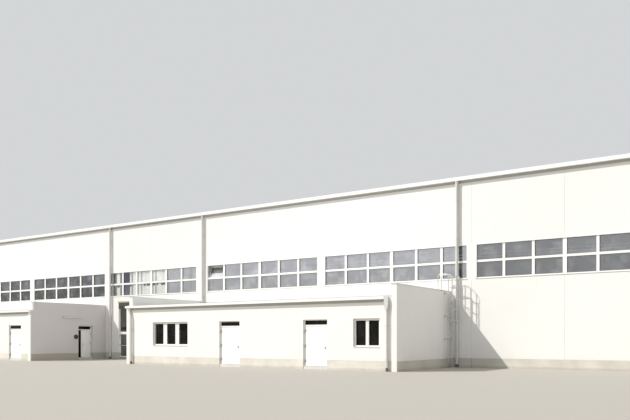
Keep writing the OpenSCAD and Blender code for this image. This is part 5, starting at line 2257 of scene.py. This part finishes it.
@dataclass
class LadderBolts(Assembly):
    """Bolts through the ladder's wall plates, and through its cage where straps cross hoops."""

    bolt_r: float = 0.006
    bolt_h: float = 0.005
    washer_h: float = 0.0015
    plate_t: float = 0.005
    edge: float = 0.011
    apart: float = 0.2
    strap_angles: tuple[int, ...] = (-80, -40, 0, 40, 80)

    def build(self) -> None:
        """Sets the bolts."""
        routes = Routes()
        self.plates(routes)
        self.cage(routes)
        piece = Bolts("ladder_bolts").make(routes, "ladder_bolts", self.palette["galvanised"], {
            "Head Radius": self.bolt_r, "Head Height": self.bolt_h, "Washer Height": self.washer_h})
        self.keep(piece, "galvanised")

    def plates(self, routes: Routes) -> None:
        """Sets a bolt over and one under the arm on each wall plate.

        Args:
            routes: Where the bolts go.
        """
        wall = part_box("annex_end_walls")[1].x
        points = [v.co for v in frame["nodes"]["roof_ladder"].data.vertices
                  if abs(v.co.x - wall) < NEAR]
        for left, right in runs_in((p.y for p in points), self.apart / 2):
            beside = [p.z for p in points if left - WELD < p.y < right + WELD]
            for foot, head in runs_in(beside, self.apart):
                for z in (foot + self.edge, head - self.edge):
                    routes.point(Vector((wall + self.plate_t, (left + right) / 2, z)), facing=ALONG)

    def cage(self, routes: Routes) -> None:
        """Sets a bolt where each strap crosses a hoop.

        Args:
            routes: Where the bolts go.
        """
        low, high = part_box("ladder_cage")
        radius = (high.y - low.y) / 2
        centre = Vector((high.x - radius, (low.y + high.y) / 2, 0.0))
        heights = [v.co.z for v in frame["nodes"]["ladder_cage"].data.vertices]
        for foot, head in runs_in(heights, self.apart):
            for angle in self.strap_angles:
                out = Matrix.Rotation(math.radians(angle), 3, "Z") @ ALONG
                routes.point(centre + out * radius + UP * (foot + head) / 2, facing=out)


@dataclass
class WallFittings(Assembly):
    """The lens of the long lamp and the louvres of the round fitting, on the left annex's end wall."""

    lens_end: float = 0.02
    lens_edge: float = 0.005
    lens_out: float = 0.004
    slats: int = 7
    slat_t: float = 0.003
    slat_depth: float = 0.012
    lean: float = 0.6
    drum_share: float = 0.8
    rim: float = 0.008

    def build(self) -> None:
        """Makes the lens and the louvres."""
        self.lens()
        self.louvres()

    def lens(self) -> None:
        """Sets a bevelled lens in the lamp's face."""
        low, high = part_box("wall_lamp")
        start, end = low.y + self.lens_end, high.y - self.lens_end
        foot, head = low.z + self.lens_edge, high.z - self.lens_edge
        slope = self.lens_out
        profile = ((0.0, foot), (slope, foot + slope), (slope, head - slope), (0.0, head))
        shape = Shape()
        shape.prism([Vector((high.x + out, start, z)) for out, z in profile], OUT * (start - end))
        self.keep(shape.object("lamp_lens", self.palette["diffuser"]), "fitting")

    def louvres(self) -> None:
        """Sets louvres in the face of the drum."""
        low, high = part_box("wall_disc")
        radius = (high.z - low.z) / 2 * self.drum_share - self.rim
        routes = Routes()
        routes.point(Vector((high.x, (low.y + high.y) / 2, (low.z + high.z) / 2)), Wall.RIGHT.turn)
        piece = Slats("louvres").make(routes, "vent_louvres", self.palette["fitting"], {
            "Count": self.slats, "Radius": radius, "Depth": self.slat_depth, "Thickness": self.slat_t,
            "Lean": self.lean})
        self.keep(piece, "fitting")


# Light and camera


@dataclass(frozen=True)
class Studio:
    """A pale floor, a low sun with a soft sky, and the camera at the photograph's viewing angle."""

    eye: tuple[float, float, float] = (16.9652, -24.2145, 0.8051)
    yaw: float = 33.5249
    lens: float = 38.897
    sensor: float = 36.0
    rise: float = 0.2042
    sun_travel: tuple[float, float, float] = (0.773, 0.67, -1.0)
    sun_tone: Colour = (1.0, 0.965, 0.905)
    sun_strength: float = 4.0
    sun_width: float = 0.8
    sky: Colour = (0.655, 0.67, 0.68)
    ground: Colour = (0.40, 0.38, 0.345)
    reach: float = 900.0

    def build(self) -> None:
        """Sets everything up."""
        bpy.context.scene.view_settings.view_transform = "Standard"
        self.floor()
        self.sun()
        self.world()
        self.camera()
        LOG.info("the studio is set")

    def floor(self) -> None:
        """Adds the floor, which isn't part of the building."""
        mesh = bpy.data.meshes.new("studio_floor")
        corners = [(x * self.reach, y * self.reach, 0.0) for x, y in ((-1, -1), (1, -1), (1, 1), (-1, 1))]
        mesh.from_pydata(corners, [], [(0, 1, 2, 3)])
        mesh.materials.append(Seal("studio_floor_paint", self.ground, 0.8, chalk=self.ground).material())
        placed("studio_floor", mesh)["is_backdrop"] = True

    def sun(self) -> None:
        """Adds the sun."""
        lamp = bpy.data.lights.new("sun", "SUN")
        lamp.energy = self.sun_strength
        lamp.angle = math.radians(self.sun_width)
        lamp.color = self.sun_tone
        holder = placed("sun", lamp)
        holder.rotation_euler = Vector(self.sun_travel).to_track_quat("-Z", "Y").to_euler()

    def world(self) -> None:
        """Fills the sky with one soft tone."""
        world = bpy.data.worlds.new("soft_sky")
        world.use_nodes = True
        background = world.node_tree.nodes["Background"]
        background.inputs["Color"].default_value = (*self.sky, 1.0)
        background.inputs["Strength"].default_value = 1.0
        bpy.context.scene.world = world

    def camera(self) -> None:
        """Adds the camera."""
        camera = bpy.data.cameras.new("camera")
        camera.sensor_fit = "HORIZONTAL"
        camera.sensor_width = self.sensor
        camera.lens = self.lens
        camera.shift_y = self.rise
        camera.clip_end = self.reach * 4
        holder = placed("camera", camera)
        holder.location = self.eye
        holder.rotation_euler = (math.pi / 2, 0.0, math.radians(self.yaw))
        bpy.context.scene.camera = holder


def main() -> None:
    """Builds every sub-assembly."""
    logging.basicConfig(level=logging.INFO, format="%(name)s: %(message)s")
    packed_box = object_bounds()
    palette = Palette()
    Studio().build()
    for assembly in (PackedNodes, WallJoints, Windows, Casings, PlinthCoat, Roofing, Rainwater,
                     AnnexOpenings, EntranceHead, DoorSets, LadderBolts, WallFittings):
        assembly(palette).build()
    boxes = {"packed": packed_box, "final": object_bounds()}
    {name: [list(corner) for corner in box] for name, box in boxes.items()}


if __name__ == "__main__":
    main()
